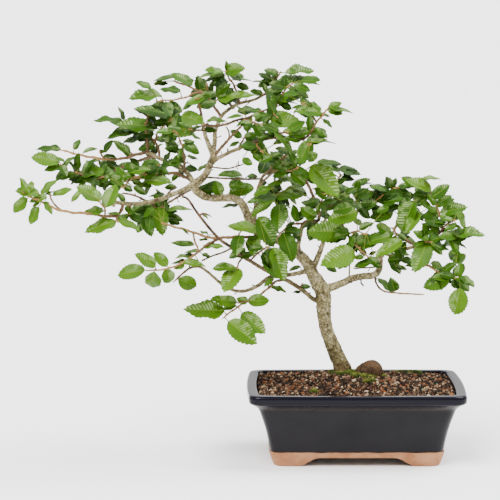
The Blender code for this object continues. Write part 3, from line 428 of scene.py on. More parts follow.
def placed(x, z, depth):
    """Where points seen at (x, z) stand in the solids' frame, in metres, at a depth behind the pot's middle.

    Each is on its line of sight, further from the eye than the seen plane by depth over the eye's distance.
    """
    further = 1 - np.asarray(depth) / EYE[1]
    height = EYE[2] + (z - EYE[2]) * further
    return np.stack([x * further, depth + 0 * further, height], axis=-1) * MM + shift


def lumps(points, size, seed, waves=28):
    """Random smooth heights about 0, one for each point: a sum of sines of one wavelength, each in its own
    direction and phase, divided by the root of their number."""
    draw = np.random.default_rng(seed)
    direction = draw.normal(size=(waves, 3))
    direction /= np.linalg.norm(direction, axis=1)[:, None]
    direction *= (2 * np.pi / size) * draw.uniform(0.7, 1.4, (waves, 1))
    phase = draw.uniform(0, 2 * np.pi, waves)
    return np.sin(points @ direction.T + phase).sum(axis=1) / math.sqrt(waves)


stump = placed(*STUMP_SEEN)


def soil_ring(height):
    """The ring where the soil meets the pot's inner wall at a height in millimetres."""
    half = np.interp(height, WALL_HEIGHTS, WALL_HALVES) - SOIL_GAP
    ring = around_pot(half, INNER_CORNER, RIM_BOW * height / RIM_TOP)
    ring = np.column_stack([ring[:, 0] + SEEN_POT_X, ring[:, 1], np.full(len(ring), height)])
    return ring * MM + shift


def soil_top(edge, share):
    """A point of the mound: the edge point drawn towards the trunk by share and raised by a smooth step."""
    share = np.asarray(share)[..., None]
    spot = edge + (stump - edge) * share
    rise = share ** 2 * (3 - 2 * share)
    spot[..., 2] = ((SOIL_EDGE + (SOIL_MOUND - SOIL_EDGE) * rise) * MM)[..., 0]
    return spot


def soil_bed():
    """The soil's whole body: flat below, up the wall, and a lumpy mound on top, lower by BED_BELOW than
    soil_top has it."""
    rings = [soil_ring(height) for height in (SOIL_BOTTOM, *WALL_HEIGHTS[1:3], SOIL_EDGE - 1.0)]
    edge = soil_ring(SOIL_EDGE)
    for share in np.linspace(0, 1, SOIL_ROWS + 1)[:-1]:
        ring = soil_top(edge, np.full(len(edge), share))
        rough = sum(lumps(ring, size, seed) * high for size, seed, high in BED_LUMPS)
        ring[:, 2] += (rough * min(share * 20, 1.0) - BED_BELOW) * MM
        rings.append(ring)
    return capped_rings(np.array(rings))


def grain_shape():
    """Corners and faces of an icosahedron of radius 1."""
    gold = (1 + math.sqrt(5)) / 2
    corners = np.array([(-1, gold, 0), (1, gold, 0), (-1, -gold, 0), (1, -gold, 0), (0, -1, gold),
                        (0, 1, gold), (0, -1, -gold), (0, 1, -gold), (gold, 0, -1), (gold, 0, 1),
                        (-gold, 0, -1), (-gold, 0, 1)]) / math.sqrt(1 + gold * gold)
    near = np.linalg.norm(corners[:, None] - corners[None], axis=2) < 1.1
    faces = [(a, b, c) for a in range(12) for b in range(a + 1, 12) for c in range(b + 1, 12)
             if near[a, b] and near[b, c] and near[a, c]]
    outward = []
    for a, b, c in faces:
        turn = np.cross(corners[b] - corners[a], corners[c] - corners[a]) @ corners[a]
        outward.append((a, b, c) if turn > 0 else (a, c, b))
    return corners, np.array(outward)


def turned(count, draw):
    """Random rotation matrices, from random unit quaternions."""
    four = draw.normal(size=(4, count))
    w, x, y, z = four / np.linalg.norm(four, axis=0)
    return np.stack([
        np.stack([1 - 2 * (y * y + z * z), 2 * (x * y - z * w), 2 * (x * z + y * w)], axis=-1),
        np.stack([2 * (x * y + z * w), 1 - 2 * (x * x + z * z), 2 * (y * z - x * w)], axis=-1),
        np.stack([2 * (x * z - y * w), 2 * (y * z + x * w), 1 - 2 * (x * x + y * y)], axis=-1),
    ], axis=1)


def scattered(count, draw):
    """Random spots on the mound, even over its area: a random edge point drawn in by 1 - sqrt(random)."""
    edge = soil_ring(SOIL_EDGE)
    along = np.concatenate([[0], np.cumsum(np.linalg.norm(np.roll(edge, -1, axis=0) - edge, axis=1))])
    walk = draw.uniform(0, along[-1], count)
    closed = np.concatenate([edge, edge[:1]])
    spots = np.stack([np.interp(walk, along, closed[:, i]) for i in range(3)], axis=1)
    return soil_top(spots, 1 - np.sqrt(draw.uniform(0.0, GRAIN_REACH, count)))


def add_number(piece, name, values):
    """A number for each corner of the mesh, which its material reads."""
    layer = piece.data.attributes.new(name, "FLOAT", "POINT")
    layer.data.foreach_set("value", np.asarray(values, np.float32))


def number_of(place, name):
    """The number that add_number gave to a piece's corners, spread over its faces."""
    return place.node("ShaderNodeAttribute", {"attribute_name": name}, output=2)


def grit(draw):
    """Angular grains, most of them small: icosahedra with shaken corners, stretched, turned and half sunk in
    the bed."""
    shape, faces = grain_shape()
    sides = len(shape)
    spots = scattered(GRAINS, draw)
    size = GRAIN_SMALL + (GRAIN_LARGE - GRAIN_SMALL) * draw.uniform(0, 1, GRAINS) ** MOSTLY_SMALL
    corners = shape[None] * draw.uniform(*GRAIN_SHAKE, (GRAINS, sides, 1))
    corners = corners * draw.uniform(*GRAIN_STRETCH, (GRAINS, 1, 3)) * size[:, None, None] * MM
    corners = np.einsum("nij,nkj->nki", turned(GRAINS, draw), corners)
    spots[:, 2] += size * draw.uniform(*GRAIN_RISE, GRAINS) * MM
    corners = corners + spots[:, None]
    offsets = np.arange(GRAINS)[:, None, None] * sides
    all_faces = (faces[None] + offsets).reshape(-1, 3)
    piece = mesh_piece("soil_grains", corners.reshape(-1, 3), [all_faces], False)
    add_number(piece, "kind", np.repeat(draw.uniform(0, 1, GRAINS), sides))
    return piece


# The share of the grains at which each colour starts: dark bark, brown clay and pale pumice, with some brick
# red and a rare green
GRAIN_COLOURS = (
    (0.00, (0.005, 0.003, 0.002)), (0.14, (0.014, 0.008, 0.005)), (0.30, (0.030, 0.015, 0.009)),
    (0.46, (0.058, 0.030, 0.017)), (0.58, (0.100, 0.055, 0.030)), (0.69, (0.170, 0.100, 0.055)),
    (0.78, (0.145, 0.045, 0.014)), (0.84, (0.240, 0.150, 0.085)), (0.90, (0.360, 0.270, 0.170)),
    (0.955, (0.260, 0.095, 0.032)), (0.975, (0.190, 0.095, 0.065)), (0.994, (0.010, 0.084, 0.055)),
)


def ramp(value, stops, interpolation="LINEAR"):
    """The colour at a value, worked out from the stops, each a value and its colour."""
    return value.node("ShaderNodeValToRGB", {"stops": stops, "interpolation": interpolation}, Fac=value)


def grit_finish():
    """Matt grains, each of its own colour, dusty in patches."""
    made, shader, place = finish_of("soil_grit", IOR=1.4, Specular_IOR_Level=0.15)
    colour = ramp(number_of(place, "kind"), GRAIN_COLOURS, "CONSTANT")
    speckle = noise(place, 1100.0, 3.0)
    dusty = blend(step_between(speckle, 0.5, 0.75) * 0.35, colour, (0.120, 0.076, 0.046))
    shaded = blend(1 - step_between(speckle, 0.3, 0.5), dusty, (0.008, 0.005, 0.004))
    feed(shader, Base_Color=blend(step_between(speckle, 0.42, 0.5), shaded, dusty),
         Roughness=speckle * 0.2 + 0.75, Normal=bump(speckle, 0.0004, 0.7))
    return made


def bed_finish():
    """Dark damp fines between the grains."""
    made, shader, place = finish_of("soil_fines", IOR=1.4, Specular_IOR_Level=0.1)
    speckle = noise(place, 700.0, 4.0, 0.7)
    colour = blend(step_between(speckle, 0.4, 0.7), (0.004, 0.003, 0.002), (0.023, 0.014, 0.009))
    feed(shader, Base_Color=colour, Roughness=speckle * 0.1 + 0.85, Normal=bump(speckle, 0.0008))
    return made


bed = mesh_piece("soil_bed", *soil_bed())
bed.data.materials.append(bed_finish())
grains = grit(np.random.default_rng(11))
grains.data.materials.append(grit_finish())
for piece in (bed, grains):
    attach(piece, "root")
    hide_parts("soil")

# The field stone is egg-shaped, weathered brown with rusty patches, and half sunk in the grit beside the
# trunk, where it lies by its own weight.
STONE_SEEN = (141.0, 100.6, 22.0)
STONE_HALF = (16.6, 11.5, 13.6)
STONE_SWELL = 0.12
STONE_ROWS, STONE_COLUMNS = 60, 96

# Lumps of a stone of radius 1: size, seed and height
STONE_LUMPS = ((1.3, 21, 0.035), (0.4, 22, 0.012), (0.12, 23, 0.005))


def stone_rings():
    """Rings of an ellipsoid whose section swells towards +X, pushed in and out by lumps of three sizes."""
    up = np.radians(np.linspace(-88, 88, STONE_ROWS))[:, None]
    turn = np.linspace(0, 2 * np.pi, STONE_COLUMNS, endpoint=False)[None]
    ball = np.stack([np.cos(up) * np.cos(turn), np.cos(up) * np.sin(turn), np.sin(up) + 0 * turn], axis=-1)
    flat = ball.reshape(-1, 3)
    swell = 1 + sum(high * lumps(flat, size, seed) for size, seed, high in STONE_LUMPS)
    section = 1 + STONE_SWELL * flat[:, 0]
    body = flat * swell[:, None] * STONE_HALF * np.stack([np.ones(len(flat)), section, section], axis=1)
    return (body * MM + placed(*STONE_SEEN)).reshape(STONE_ROWS, STONE_COLUMNS, 3)


def stone_finish():
    """Brown weathered stone with tan, rust and near-black patches and a sandy grain."""
    made, shader, place = finish_of("stone_brown", IOR=1.45, Specular_IOR_Level=0.12)
    patch = noise(place, 90.0, 4.0, 0.6)
    sand = noise(place, 900.0, 3.0, 0.6)
    colour = ramp(patch, ((0.32, (0.009, 0.005, 0.003)), (0.48, (0.030, 0.015, 0.007)),
                          (0.62, (0.062, 0.032, 0.014)), (0.78, (0.105, 0.065, 0.033))))
    dark = 1 - step_between(sand, 0.36, 0.46)
    colour = blend(dark * 0.8, colour, (0.013, 0.008, 0.005))
    colour = blend(step_between(sand, 0.54, 0.66) * 0.6, colour, (0.150, 0.098, 0.052))
    feed(shader, Base_Color=colour, Roughness=patch * 0.2 + 0.65, Normal=bump(sand, 0.0005, 0.8))
    return made


stone = mesh_piece("field_stone", *capped_rings(stone_rings()))
stone.data.materials.append(stone_finish())
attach(stone, "root")
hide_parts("stone")

# The trunk and its limbs are living wood under a thin bark, bent by training and pruned back for years. The
# trunk swells at its foot and below its forks, and each limb leaves it through a collar. Thin bare twigs and
# short spurs with buds stand on the limbs.
Limb = namedtuple("Limb", "foot_radius tip_radius brown route")
WOOD_STEP = 1.5
WOOD_SIDES = 28
VOXEL = 0.00077
SMOOTHINGS = 2
THIN_LIMB = 2.0
LIMB_MORE = 0.3
COLLAR_SWELL = 0.42
COLLAR_LENGTH = 1.7
TWIG_SIDES = 8
TWIG_NODE, TWIG_NODE_WIDTH = 0.28, 0.12
NODE_PITCH = 9.0
LONG_LIMB_ROWS = 20
SPURS = 70
SPUR_LENGTH = (2.0, 6.0)
SPUR_RADIUS = (0.45, 0.7)
SPUR_FOOT, SPUR_LEAN, SPUR_RISE, SPUR_BEND = 0.7, 0.5, 0.25, 0.12
SPUR_SIDES = 6
BUD_LENGTH = 3.2
BUD_RADIUS = 0.85
FOOT_BROWN = 0.35
LEAST_BROWN = 0.6

# The skin's waves: size in metres, seed, and height as a share of the wood's radius or, for the grain, in
# metres. Flutes start where the radius passes FLUTES_FROM and are full FLUTES_OVER later, and roots swell
# below ROOT_TOP in the same way.
FLUTE = (0.008, 31, 0.055)
FLUTE_STRETCH = (1.0, 1.0, 0.22)
FLUTES_FROM, FLUTES_OVER = 0.004, 0.004
SWELLINGS = ((0.011, 32, 0.045), (0.0045, 33, 0.035))
GRAIN = (0.0021, 34, 0.00007)
ROOT_TOP, ROOT_FADE, ROOT_SWELL = 0.112, 0.02, 0.10

# Heights in metres between which the green and the rusty bark at the foot give way to the khaki above
GREEN_BARK = (0.118, 0.156)
RUSTY_BARK = (0.104, 0.128)

# Seen x, seen z, depth and radius, from below the soil to the fork at the far left
TRUNK = (
    (111, 84, 35, 13), (110, 96, 35, 11.3), (107.5, 109, 34.5, 10.2), (102, 122, 34, 9.2),
    (94, 141, 33, 8.2), (89, 157, 31, 8.1), (87, 172, 29, 8.2), (86.5, 187, 27, 8.8), (85, 198, 25, 9),
    (79, 208, 24, 8.4), (73.5, 218, 23, 7.4), (68, 229, 22, 7), (60, 238.5, 20, 6), (50, 247.5, 18.5, 5.4),
    (36, 256, 16.5, 5.2), (20, 262.5, 14.5, 5.2), (7, 269, 13, 5.2), (0, 278, 12, 5.1),
    (-4, 289, 10.5, 5), (-9, 300, 9.5, 4.9), (-18, 306.5, 8.5, 4.7), (-32, 307.5, 7, 4.6),
    (-46, 307.5, 5, 4.6), (-56, 310.5, 3, 4.6), (-63, 316, 1, 4.6), (-67, 324, 0, 4.8),
)

# Radius at the foot and the tip, share of twig brown in its bark, and route as seen x, seen z and depth
LIMBS = (
    Limb(2.8, 1.9, 0.3, ((-67, 323, 0), (-78, 317, -8), (-90, 312, -16), (-105, 306, -26), (-122, 302, -36),
                         (-136, 300.5, -44), (-150, 301, -52), (-158, 302, -56), (-161, 297, -58))),
    Limb(1.1, 0.8, 0.6, ((-120, 303, -35), (-132, 309, -32), (-142, 312, -30), (-150, 313, -28))),
    Limb(1.0, 0.7, 0.7, ((-100, 308, -23), (-93, 316, -15), (-86, 320, -9))),
    Limb(2.6, 1.9, 0.4, ((-66, 324, 1), (-72, 335, 6), (-80, 341, 12), (-90, 346.5, 18), (-108, 355, 29),
                         (-121, 361.5, 37))),
    Limb(4.2, 3.2, 0.1, ((-67, 323, 0), (-58, 329, -3), (-51, 337, -6), (-47, 347, -9), (-43, 357, -12),
                         (-43, 363, -13))),
    Limb(2.7, 1.4, 0.4, ((-44, 361, -13), (-49, 372, -20), (-53, 383, -28), (-55, 392, -34),
                         (-57, 406, -43))),
    Limb(1.4, 1.0, 0.7, ((-54, 393, -34), (-42, 392, -36), (-28, 394, -38), (-15, 399, -40),
                         (-4, 401, -42))),
    Limb(2.6, 1.2, 0.4, ((-43, 361, -13), (-41, 375, -4), (-41, 385, 3), (-37, 396, 10), (-33, 404, 16),
                         (-24, 412, 22), (-12, 418.5, 28), (4, 422.5, 32), (15, 428, 34), (22, 433, 35))),
    Limb(0.9, 0.6, 0.8, ((-41, 383, 2), (-45, 390, -4), (-50, 395, -9))),
    Limb(1.7, 1.0, 0.6, ((-42, 356, -12), (-36, 364, -18), (-28, 373, -26), (-18, 384, -34),
                         (-7, 395, -43))),
    Limb(0.8, 0.6, 0.8, ((-24, 378, -30), (-25, 386, -26), (-28, 391, -24))),
    Limb(2.2, 1.2, 0.7, ((-44, 350, -9), (-34, 356, -16), (-24, 361, -24), (-12, 366, -32), (0, 371, -38),
                         (12, 375, -44), (28, 378, -50), (44, 379, -56))),
    Limb(0.8, 0.6, 0.8, ((-26, 360, -23), (-26, 366, -22))),
    Limb(0.9, 0.8, 0.95, ((-55, 332, -5), (-30, 330.5, -10), (-5, 329.5, -15), (13, 330, -19))),
    Limb(0.7, 0.5, 0.9, ((-46, 344, -9), (-28, 342, -14), (-18, 344, -18), (-8, 347, -22))),
    Limb(2.2, 1.3, 0.6, ((5, 270.5, 13), (6, 290, 4), (8, 312, -10), (14, 331, -20), (22, 339, -24),
                         (29, 346, -28))),
    Limb(2.6, 1.5, 0.6, ((57, 242, 19), (57, 252, 14), (59, 263, 8), (63, 277, 0), (72, 280.5, -4),
                         (80, 281, -8), (81, 291, -14), (77, 303, -20), (72, 314, -26))),
    Limb(3.4, 1.8, 0.3, ((73, 221, 22), (78, 233, 20), (82, 243, 18), (86, 254, 14), (88, 263, 9),
                         (97, 270, 4), (109, 274, -2))),
    Limb(4.2, 3.4, 0.2, ((88, 199, 25), (100, 203, 20), (112, 208, 15), (120, 212, 11), (132, 214.5, 6),
                         (145, 216, 0), (151, 221, -4), (153, 230, -8), (152, 238, -12))),
    Limb(2.4, 1.4, 0.6, ((152, 236, -11), (160, 243, -17), (175, 245.5, -24), (190, 249, -30),
                         (205, 256, -37), (218, 261.5, -43))),
    Limb(0.7, 0.6, 0.9, ((117, 211, 12), (117, 222, 10), (117, 232, 8))),
    Limb(0.7, 0.6, 0.6, ((152, 226, -6), (140, 225, -11), (122, 224, -15))),
    Limb(0.7, 0.6, 0.9, ((131, 213, 6), (131, 207, 2), (134, 203, 0))),
    Limb(2.6, 1.1, 0.95, ((84, 184, 27), (74, 188, 22), (62, 198, 14), (45, 209, 4), (20, 221, -8),
                          (0, 233, -18), (-12, 240, -24), (-22, 249, -30), (-35, 258, -36), (-48, 272, -42),
                          (-62, 290, -48), (-73, 306, -52), (-80, 309, -54))),
    Limb(0.9, 0.7, 0.6, ((-22, 248, -30), (-32, 243, -34), (-44, 239, -38), (-57, 233, -42))),
    Limb(2.4, 1.2, 0.5, ((68, 221, 21), (50, 217, 12), (35, 215, 4), (22, 213, -2), (10, 204, -10),
                         (-3, 198, -18), (-15, 197, -24), (-28, 202, -30), (-40, 211, -36), (-50, 220, -40),
                         (-60, 226, -44), (-70, 225, -50))),
    Limb(1.8, 1.1, 0.5, ((-112, 357, 32), (-128, 352, 52), (-146, 345, 74))),
    Limb(2.0, 1.1, 0.5, ((-2, 283, 11), (8, 296, 36), (22, 306, 62))),
    Limb(2.0, 1.1, 0.6, ((86, 256, 13), (88, 280, 38), (92, 302, 62))),
    Limb(1.8, 1.0, 0.5, ((152, 234, -9), (160, 252, 18), (172, 274, 46))),
    Limb(1.8, 1.0, 0.5, ((-66, 320, 1), (-76, 314, 28), (-92, 304, 56))),
    Limb(1.4, 0.9, 0.6, ((-20, 414, 24), (-28, 422, 46))),
    Limb(1.6, 1.0, 0.6, ((8, 312, -10), (14, 325, 25), (24, 335, 52))),
)


def smooth_route(spots):
    """Rows about WOOD_STEP apart along a Catmull-Rom curve through rows of numbers."""
    ends = np.concatenate([[2 * spots[0] - spots[1]], spots, [2 * spots[-1] - spots[-2]]])
    legs = []
    for a, b, c, d in zip(ends, ends[1:], ends[2:], ends[3:]):
        count = max(int(np.linalg.norm((c - b)[:3]) / (WOOD_STEP * MM)), 1)
        t = np.arange(count)[:, None] / count
        legs.append(0.5 * (2 * b + (c - a) * t + (2 * a - 5 * b + 4 * c - d) * t ** 2
                           + (3 * b - a - 3 * c + d) * t ** 3))
    return np.concatenate(legs + [spots[-1:]])


def walked(path):
    """How far along a path each of its points lies."""
    return np.concatenate([[0.0], np.cumsum(np.linalg.norm(np.diff(path, axis=0), axis=1))])


def unit(vector):
    """The vector divided by its length."""
    return vector / np.linalg.norm(vector)


def tube_rings(path, radii, sides):
    """Rings of corners round a path. The direction of each ring's first corner is that of the ring before,
    turned square to the path."""
    along = np.gradient(path, axis=0)
    along /= np.linalg.norm(along, axis=1)[:, None]
    side = np.cross(along[0], (0.3, 0.5, 0.8))
    first = []
    for direction in along:
        side = unit(side - direction * (side @ direction))
        first.append(side)
    first = np.array(first)
    second = np.cross(along, first)
    turn = np.linspace(0, 2 * np.pi, sides, endpoint=False)[:, None]
    circle = np.cos(turn) * first[:, None] + np.sin(turn) * second[:, None]
    return path[:, None] + circle * np.asarray(radii)[:, None, None]


def bodies_of(parts):
    """One array of corners and one list of face arrays for several bodies given as corners and faces."""
    corners, groups, start = [], {}, 0
    for body, faces in parts:
        corners.append(body)
        for group in faces:
            groups.setdefault(group.shape[1], []).append(group + start)
        start += len(body)
    return np.concatenate(corners), [np.concatenate(group) for group in groups.values()]


def limb_path(limb):
    """Rows of x, y, z, radius and brownness along a limb, in metres: the radius swells into a collar at the
    foot by COLLAR_SWELL * exp(-distance / (COLLAR_LENGTH * radius))."""
    spots = placed(*np.array(limb.route, float).T)
    share = np.linspace(0, 1, len(spots))
    radius = limb.foot_radius + (limb.tip_radius - limb.foot_radius) * share
    brown = limb.brown * (FOOT_BROWN + (1 - FOOT_BROWN) * share)
    rows = smooth_route(np.column_stack([spots, (radius + LIMB_MORE) * MM, brown]))
    away = walked(rows[:, :3]) / (COLLAR_LENGTH * limb.foot_radius * MM)
    rows[:, 3] *= 1 + COLLAR_SWELL * np.exp(-away)
    return rows


def nearest_row(points, rows):
    """For each point the row that is nearest by its x, y and z, looked for in blocks of points.

    It has the least row . row - 2 * point . row, which is the distance squared less point . point.
    """
    found = []
    for block in np.array_split(points, len(points) // 4000 + 1):
        away = (rows[:, :3] ** 2).sum(axis=1) - 2 * block @ rows[:, :3].T
        found.append(away.argmin(axis=1))
    return rows[np.concatenate(found)]


def trunk_rows():
    """Rows of x, y, z, radius and brownness along the trunk."""
    table = np.array(TRUNK, float)
    spots = placed(*table[:, :3].T)
    return smooth_route(np.column_stack([spots, table[:, 3] * MM, np.zeros(len(table))]))


def corners_of(mesh, kind="co"):
    """A mesh's corners as rows of x, y and z, or the normals there."""
    values = np.empty(len(mesh.vertices) * 3, np.float32)
    mesh.vertices.foreach_get(kind, values)
    return values.reshape(-1, 3).astype(float)


def thick_wood(rows_of_limbs):
    """The trunk and thick limbs grown into one skin, with flutes, swellings, roots and a fine grain.

    The skin is pushed along its normal by sums of sines: upright flutes where the wood is thick, and round
    swellings everywhere. At the foot it swells into roots by sin(3 * turn) + 0.6 * sin(5 * turn). All these
    are in step with the wood's radius, and the grain is not.
    """
    tubes = [capped_rings(tube_rings(rows[:, :3], rows[:, 3], WOOD_SIDES)) for rows in rows_of_limbs]
    piece = mesh_piece("trunk_and_limbs", *bodies_of(tubes))
    remesh = piece.modifiers.new("grown_together", "REMESH")
    remesh.mode = "VOXEL"
    remesh.voxel_size = VOXEL
    smooth = piece.modifiers.new("soft", "SMOOTH")
    smooth.iterations = SMOOTHINGS
    apply_modifiers(piece)
    corners, normals = corners_of(piece.data), corners_of(piece.data, "normal")
    near = nearest_row(corners, np.concatenate(rows_of_limbs))
    radius = near[:, 3]
    size, seed, high = FLUTE
    thick = np.clip((radius - FLUTES_FROM) / FLUTES_OVER, 0, 1)
    share = lumps(corners * FLUTE_STRETCH, size, seed) * high * thick
    for size, seed, high in SWELLINGS:
        share += lumps(corners, size, seed) * high
    foot = np.clip((ROOT_TOP - corners[:, 2]) / ROOT_FADE, 0, 1)
    turn = np.arctan2(corners[:, 1] - stump[1], corners[:, 0] - stump[0])
    share += foot * (np.sin(3 * turn + 0.6) + 0.6 * np.sin(5 * turn + 2.0)) * ROOT_SWELL
    size, seed, high = GRAIN
    corners += normals * (share * radius + lumps(corners, size, seed) * high)[:, None]
    piece.data.vertices.foreach_set("co", corners.astype(np.float32).ravel())
    piece.data.update()
    piece.data.shade_smooth()
    add_number(piece, "brown", near[:, 4])
    return piece


def bud(foot, direction, length, radius):
    """A pointed bud: a spindle from a foot along a direction."""
    share = np.array([0.0, 0.18, 0.42, 0.7, 0.93])
    wide = np.array([0.45, 0.95, 1.0, 0.62, 0.12])
    path = foot + np.outer(share * length, unit(direction))
    return capped_rings(tube_rings(path, wide * radius, SPUR_SIDES))


def twig_body(rows):
    """A thin twig: a tube that is swollen at its nodes, each NODE_PITCH from the last."""
    away = walked(rows[:, :3]) / (NODE_PITCH * MM)
    node = np.exp(-((away - np.round(away)) / TWIG_NODE_WIDTH) ** 2)
    return capped_rings(tube_rings(rows[:, :3], rows[:, 3] * (1 + TWIG_NODE * node), TWIG_SIDES))


def spur_bodies(rows, draw):
    """A short spur that stands off a limb at a random place and leans along it, and the bud at its tip."""
    i = int(draw.integers(2, len(rows) - 2))
    along = unit(rows[i + 2, :3] - rows[i - 2, :3])
    square = unit(np.cross(along, draw.normal(size=3)))
    out = unit(square + along * SPUR_LEAN + (0, 0, SPUR_RISE))
    length = draw.uniform(*SPUR_LENGTH) * MM
    share = np.linspace(0, 1, 4)[:, None]
    bend = draw.normal(size=3) * SPUR_BEND
    path = rows[i, :3] + out * (rows[i, 3] * SPUR_FOOT + share * length) + bend * share ** 2 * length
    radius = draw.uniform(*SPUR_RADIUS) * MM
    tube = capped_rings(tube_rings(path, np.full(len(path), radius), SPUR_SIDES))
    bud_length = BUD_LENGTH * MM * draw.uniform(0.7, 1.1)
    return [tube, bud(path[-1] - out * 0.3 * MM, out, bud_length, BUD_RADIUS * MM)]


def bark():
    """Khaki bark with fine dark flecks and paler scars, green and then rusty towards the soil, and browner
    on thin limbs."""
    made, shader, place = finish_of("bark", IOR=1.4, Specular_IOR_Level=0.15)
    brown = number_of(place, "brown")
    height = coordinate(place, 2)
    cloud = noise(place, 95.0, 4.0, 0.6)
    fleck = noise(place, 620.0, 3.0, 0.65)
    fine = noise(place, 1500.0, 2.0, 0.6)
    khaki = ramp(cloud, ((0.28, (0.034, 0.024, 0.008)), (0.43, (0.098, 0.076, 0.030)),
                         (0.57, (0.215, 0.178, 0.080)), (0.74, (0.42, 0.37, 0.215))))
    low = 1 - step_between(height + cloud * 0.02, *GREEN_BARK)
    khaki = blend(low * 0.6, khaki, (0.062, 0.050, 0.016))
    rusty = 1 - step_between(height + cloud * 0.022, *RUSTY_BARK)
    khaki = blend(rusty * 0.7, khaki, (0.066, 0.027, 0.009))
    twig = blend(step_between(cloud, 0.4, 0.65), (0.030, 0.017, 0.010), (0.150, 0.086, 0.045))
    colour = blend(step_between(brown + (cloud - 0.5) * 0.9, 0.30, 0.72), khaki, twig)
    mottle = noise(place, 400.0, 3.0, 0.6)
    thick = 1 - step_between(brown, 0.1, 0.4)
    scars = step_between(mottle, 0.50, 0.62) * thick * (1 - low * 0.8)
    colour = blend(scars * 0.5, colour, (0.50, 0.45, 0.28))
    colour = blend((1 - step_between(mottle, 0.36, 0.46)) * 0.4, colour, (0.034, 0.025, 0.010))
    dark = step_between(fleck, 0.55, 0.63)
    colour = blend(dark * 0.85, colour, (0.014, 0.009, 0.004))
    pale = step_between(fine, 0.60, 0.70) * (1 - brown) * (1 - low * 0.8)
    colour = blend(pale * 0.6, colour, (0.50, 0.44, 0.27))
    feed(shader, Base_Color=colour, Roughness=fleck * 0.2 + 0.62,
         Normal=bump(fleck + fine * 0.5, 0.0005, 0.7))
    return made


trunk_path = trunk_rows()
limb_paths = [limb_path(limb) for limb in LIMBS]
is_thick = [limb.foot_radius >= THIN_LIMB for limb in LIMBS]
bark_finish = bark()
wood = thick_wood([trunk_path] + [rows for rows, thick in zip(limb_paths, is_thick) if thick])

draw = np.random.default_rng(5)
twig_parts = [twig_body(rows) for rows, thick in zip(limb_paths, is_thick) if not thick]
long_limbs = [rows for rows in limb_paths if len(rows) > LONG_LIMB_ROWS]
for _ in range(SPURS):
    twig_parts += spur_bodies(long_limbs[int(draw.integers(len(long_limbs)))], draw)
twigs = mesh_piece("bare_twigs", *bodies_of(twig_parts))
near_twig = nearest_row(corners_of(twigs.data), np.concatenate(limb_paths))
add_number(twigs, "brown", np.maximum(near_twig[:, 4], LEAST_BROWN))
for piece in (wood, twigs):
    piece.data.materials.append(bark_finish)
    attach(piece, "root")
    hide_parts("trunk_and_branches")

# Each leafy stem is a young shoot that branches and carries leaves on short stalks, with a bud at the foot
# of each. A leaf is a thin blade, folded along its midrib and saw-edged. A few leaves grow straight from the
# old limbs.
Shoot = namedtuple("Shoot", "foot_radius tip_radius route leaves")
STEM_SIDES = 7
STEM_MORE = 0.35
STEM_NODE, STEM_NODE_WIDTH = 0.30, 0.11
ZIGZAG = 0.9
STALK_SIDES = 5
STALK_RADIUS = 0.5

# A blade's true width and the rest of its shape are shares of its length, but BLADE_THICK is in millimetres.
# BLADE_PEAK is the greatest value of the curve that the outline follows. LEAST_SEEN is the least share of
# its width that a blade shows, and WIDEST_LEAF the most that one is widened.
LEAF_WIDTH = 0.54
WIDEST_LEAF = 1.25
LEAST_SEEN = 0.5
LEAF_FOLD = 0.15
LEAF_ARCH = 0.10
BLADE_PEAK = 0.3745
BLADE_SWELL = 0.014
TOOTH_OUT = 0.028
TOOTH_ONWARD = 0.012
TEETH = 9
VEINS_PER_TOOTH = 1.6
BLADE_THICK = 0.26
LEAF_CRISP = 66.0

# Where a leaf's ends lie: the stray of its base in depth, how far back to the shoot that base is if only the
# tip is given, and the lean of a tip. A leaf that is seen too wide leans as for WIDEST_SEEN times its width
# at most, to the front, or to the back in front of FAR_FRONT. No tip lies further out than GREATEST_DEPTH.
BASE_STRAY = 3
BASE_BACK = 0.85
LEAF_LEAN = 0.30
WIDEST_SEEN = 1.5
FAR_FRONT = -50
GREATEST_DEPTH = 101.0

# What each leaf draws: factors of LEAF_FOLD and LEAF_ARCH, the turn and the height of the wave along it, and
# the most that it twists and bends. Its ridge below is RIB_RIDGE times BLADE_THICK higher at the base.
FOLD_TIMES, ARCH_TIMES = (0.2, 2.2), (0.3, 2.0)
WAVE_TURN, WAVE_HEIGHT = (8, 13), (0.04, 0.20)
LEAF_TWIST, LEAF_BEND = 0.5, 0.06
RIB_RIDGE = 1.3

# How light a leaf is: on a fresh stem, on another and on an old limb. Then what its millimetres beyond
# USUAL_LENGTH add within LONG_LIGHT, and what its depth and its being a random one take away: painted
# shade, darker further back and on the random leaves that fill a stem.
FRESH_TONE, LEAF_TONE, OLD_LIMB_TONE = 0.85, 0.50, 0.55
USUAL_LENGTH = 20.0
LONG_LIGHTER = 0.012
LONG_LIGHT = (-0.1, 0.2)
DEPTH_SHADE = 0.0021
HIDDEN_SHADE = 0.05
TONE_SPREAD = 0.2

# How young the bark is: old at 0, then new wood, and green on the stalks
BUD_YOUTH, STALK_YOUTH = 1.0, 2.2

# The random leaves: one for each spacing, with its stalk and length in millimetres, its seen width over its
# length, and how steeply it stands. Open stems, the fresh ones too, have none.
HIDDEN_SPACING, BACK_SPACING = 5.0, 2.6
HIDDEN_STALK = (1.5, 4.0)
HIDDEN_LENGTH = (13.0, 22.0)
HIDDEN_WIDTH = (0.34, 0.54)
HIDDEN_RISE = 0.4
FRESH_STEMS = ("spray_lower_left", "spray_far_left", "spray_bottom")
OPEN_STEMS = FRESH_STEMS + ("spray_low_limb", "spray_low_end", "spray_top_left", "spray_left_upright",
                             "spray_right_under", "spray_low_tip", "spray_low_front", "spray_trunk_low",
                             "spray_left_arm")

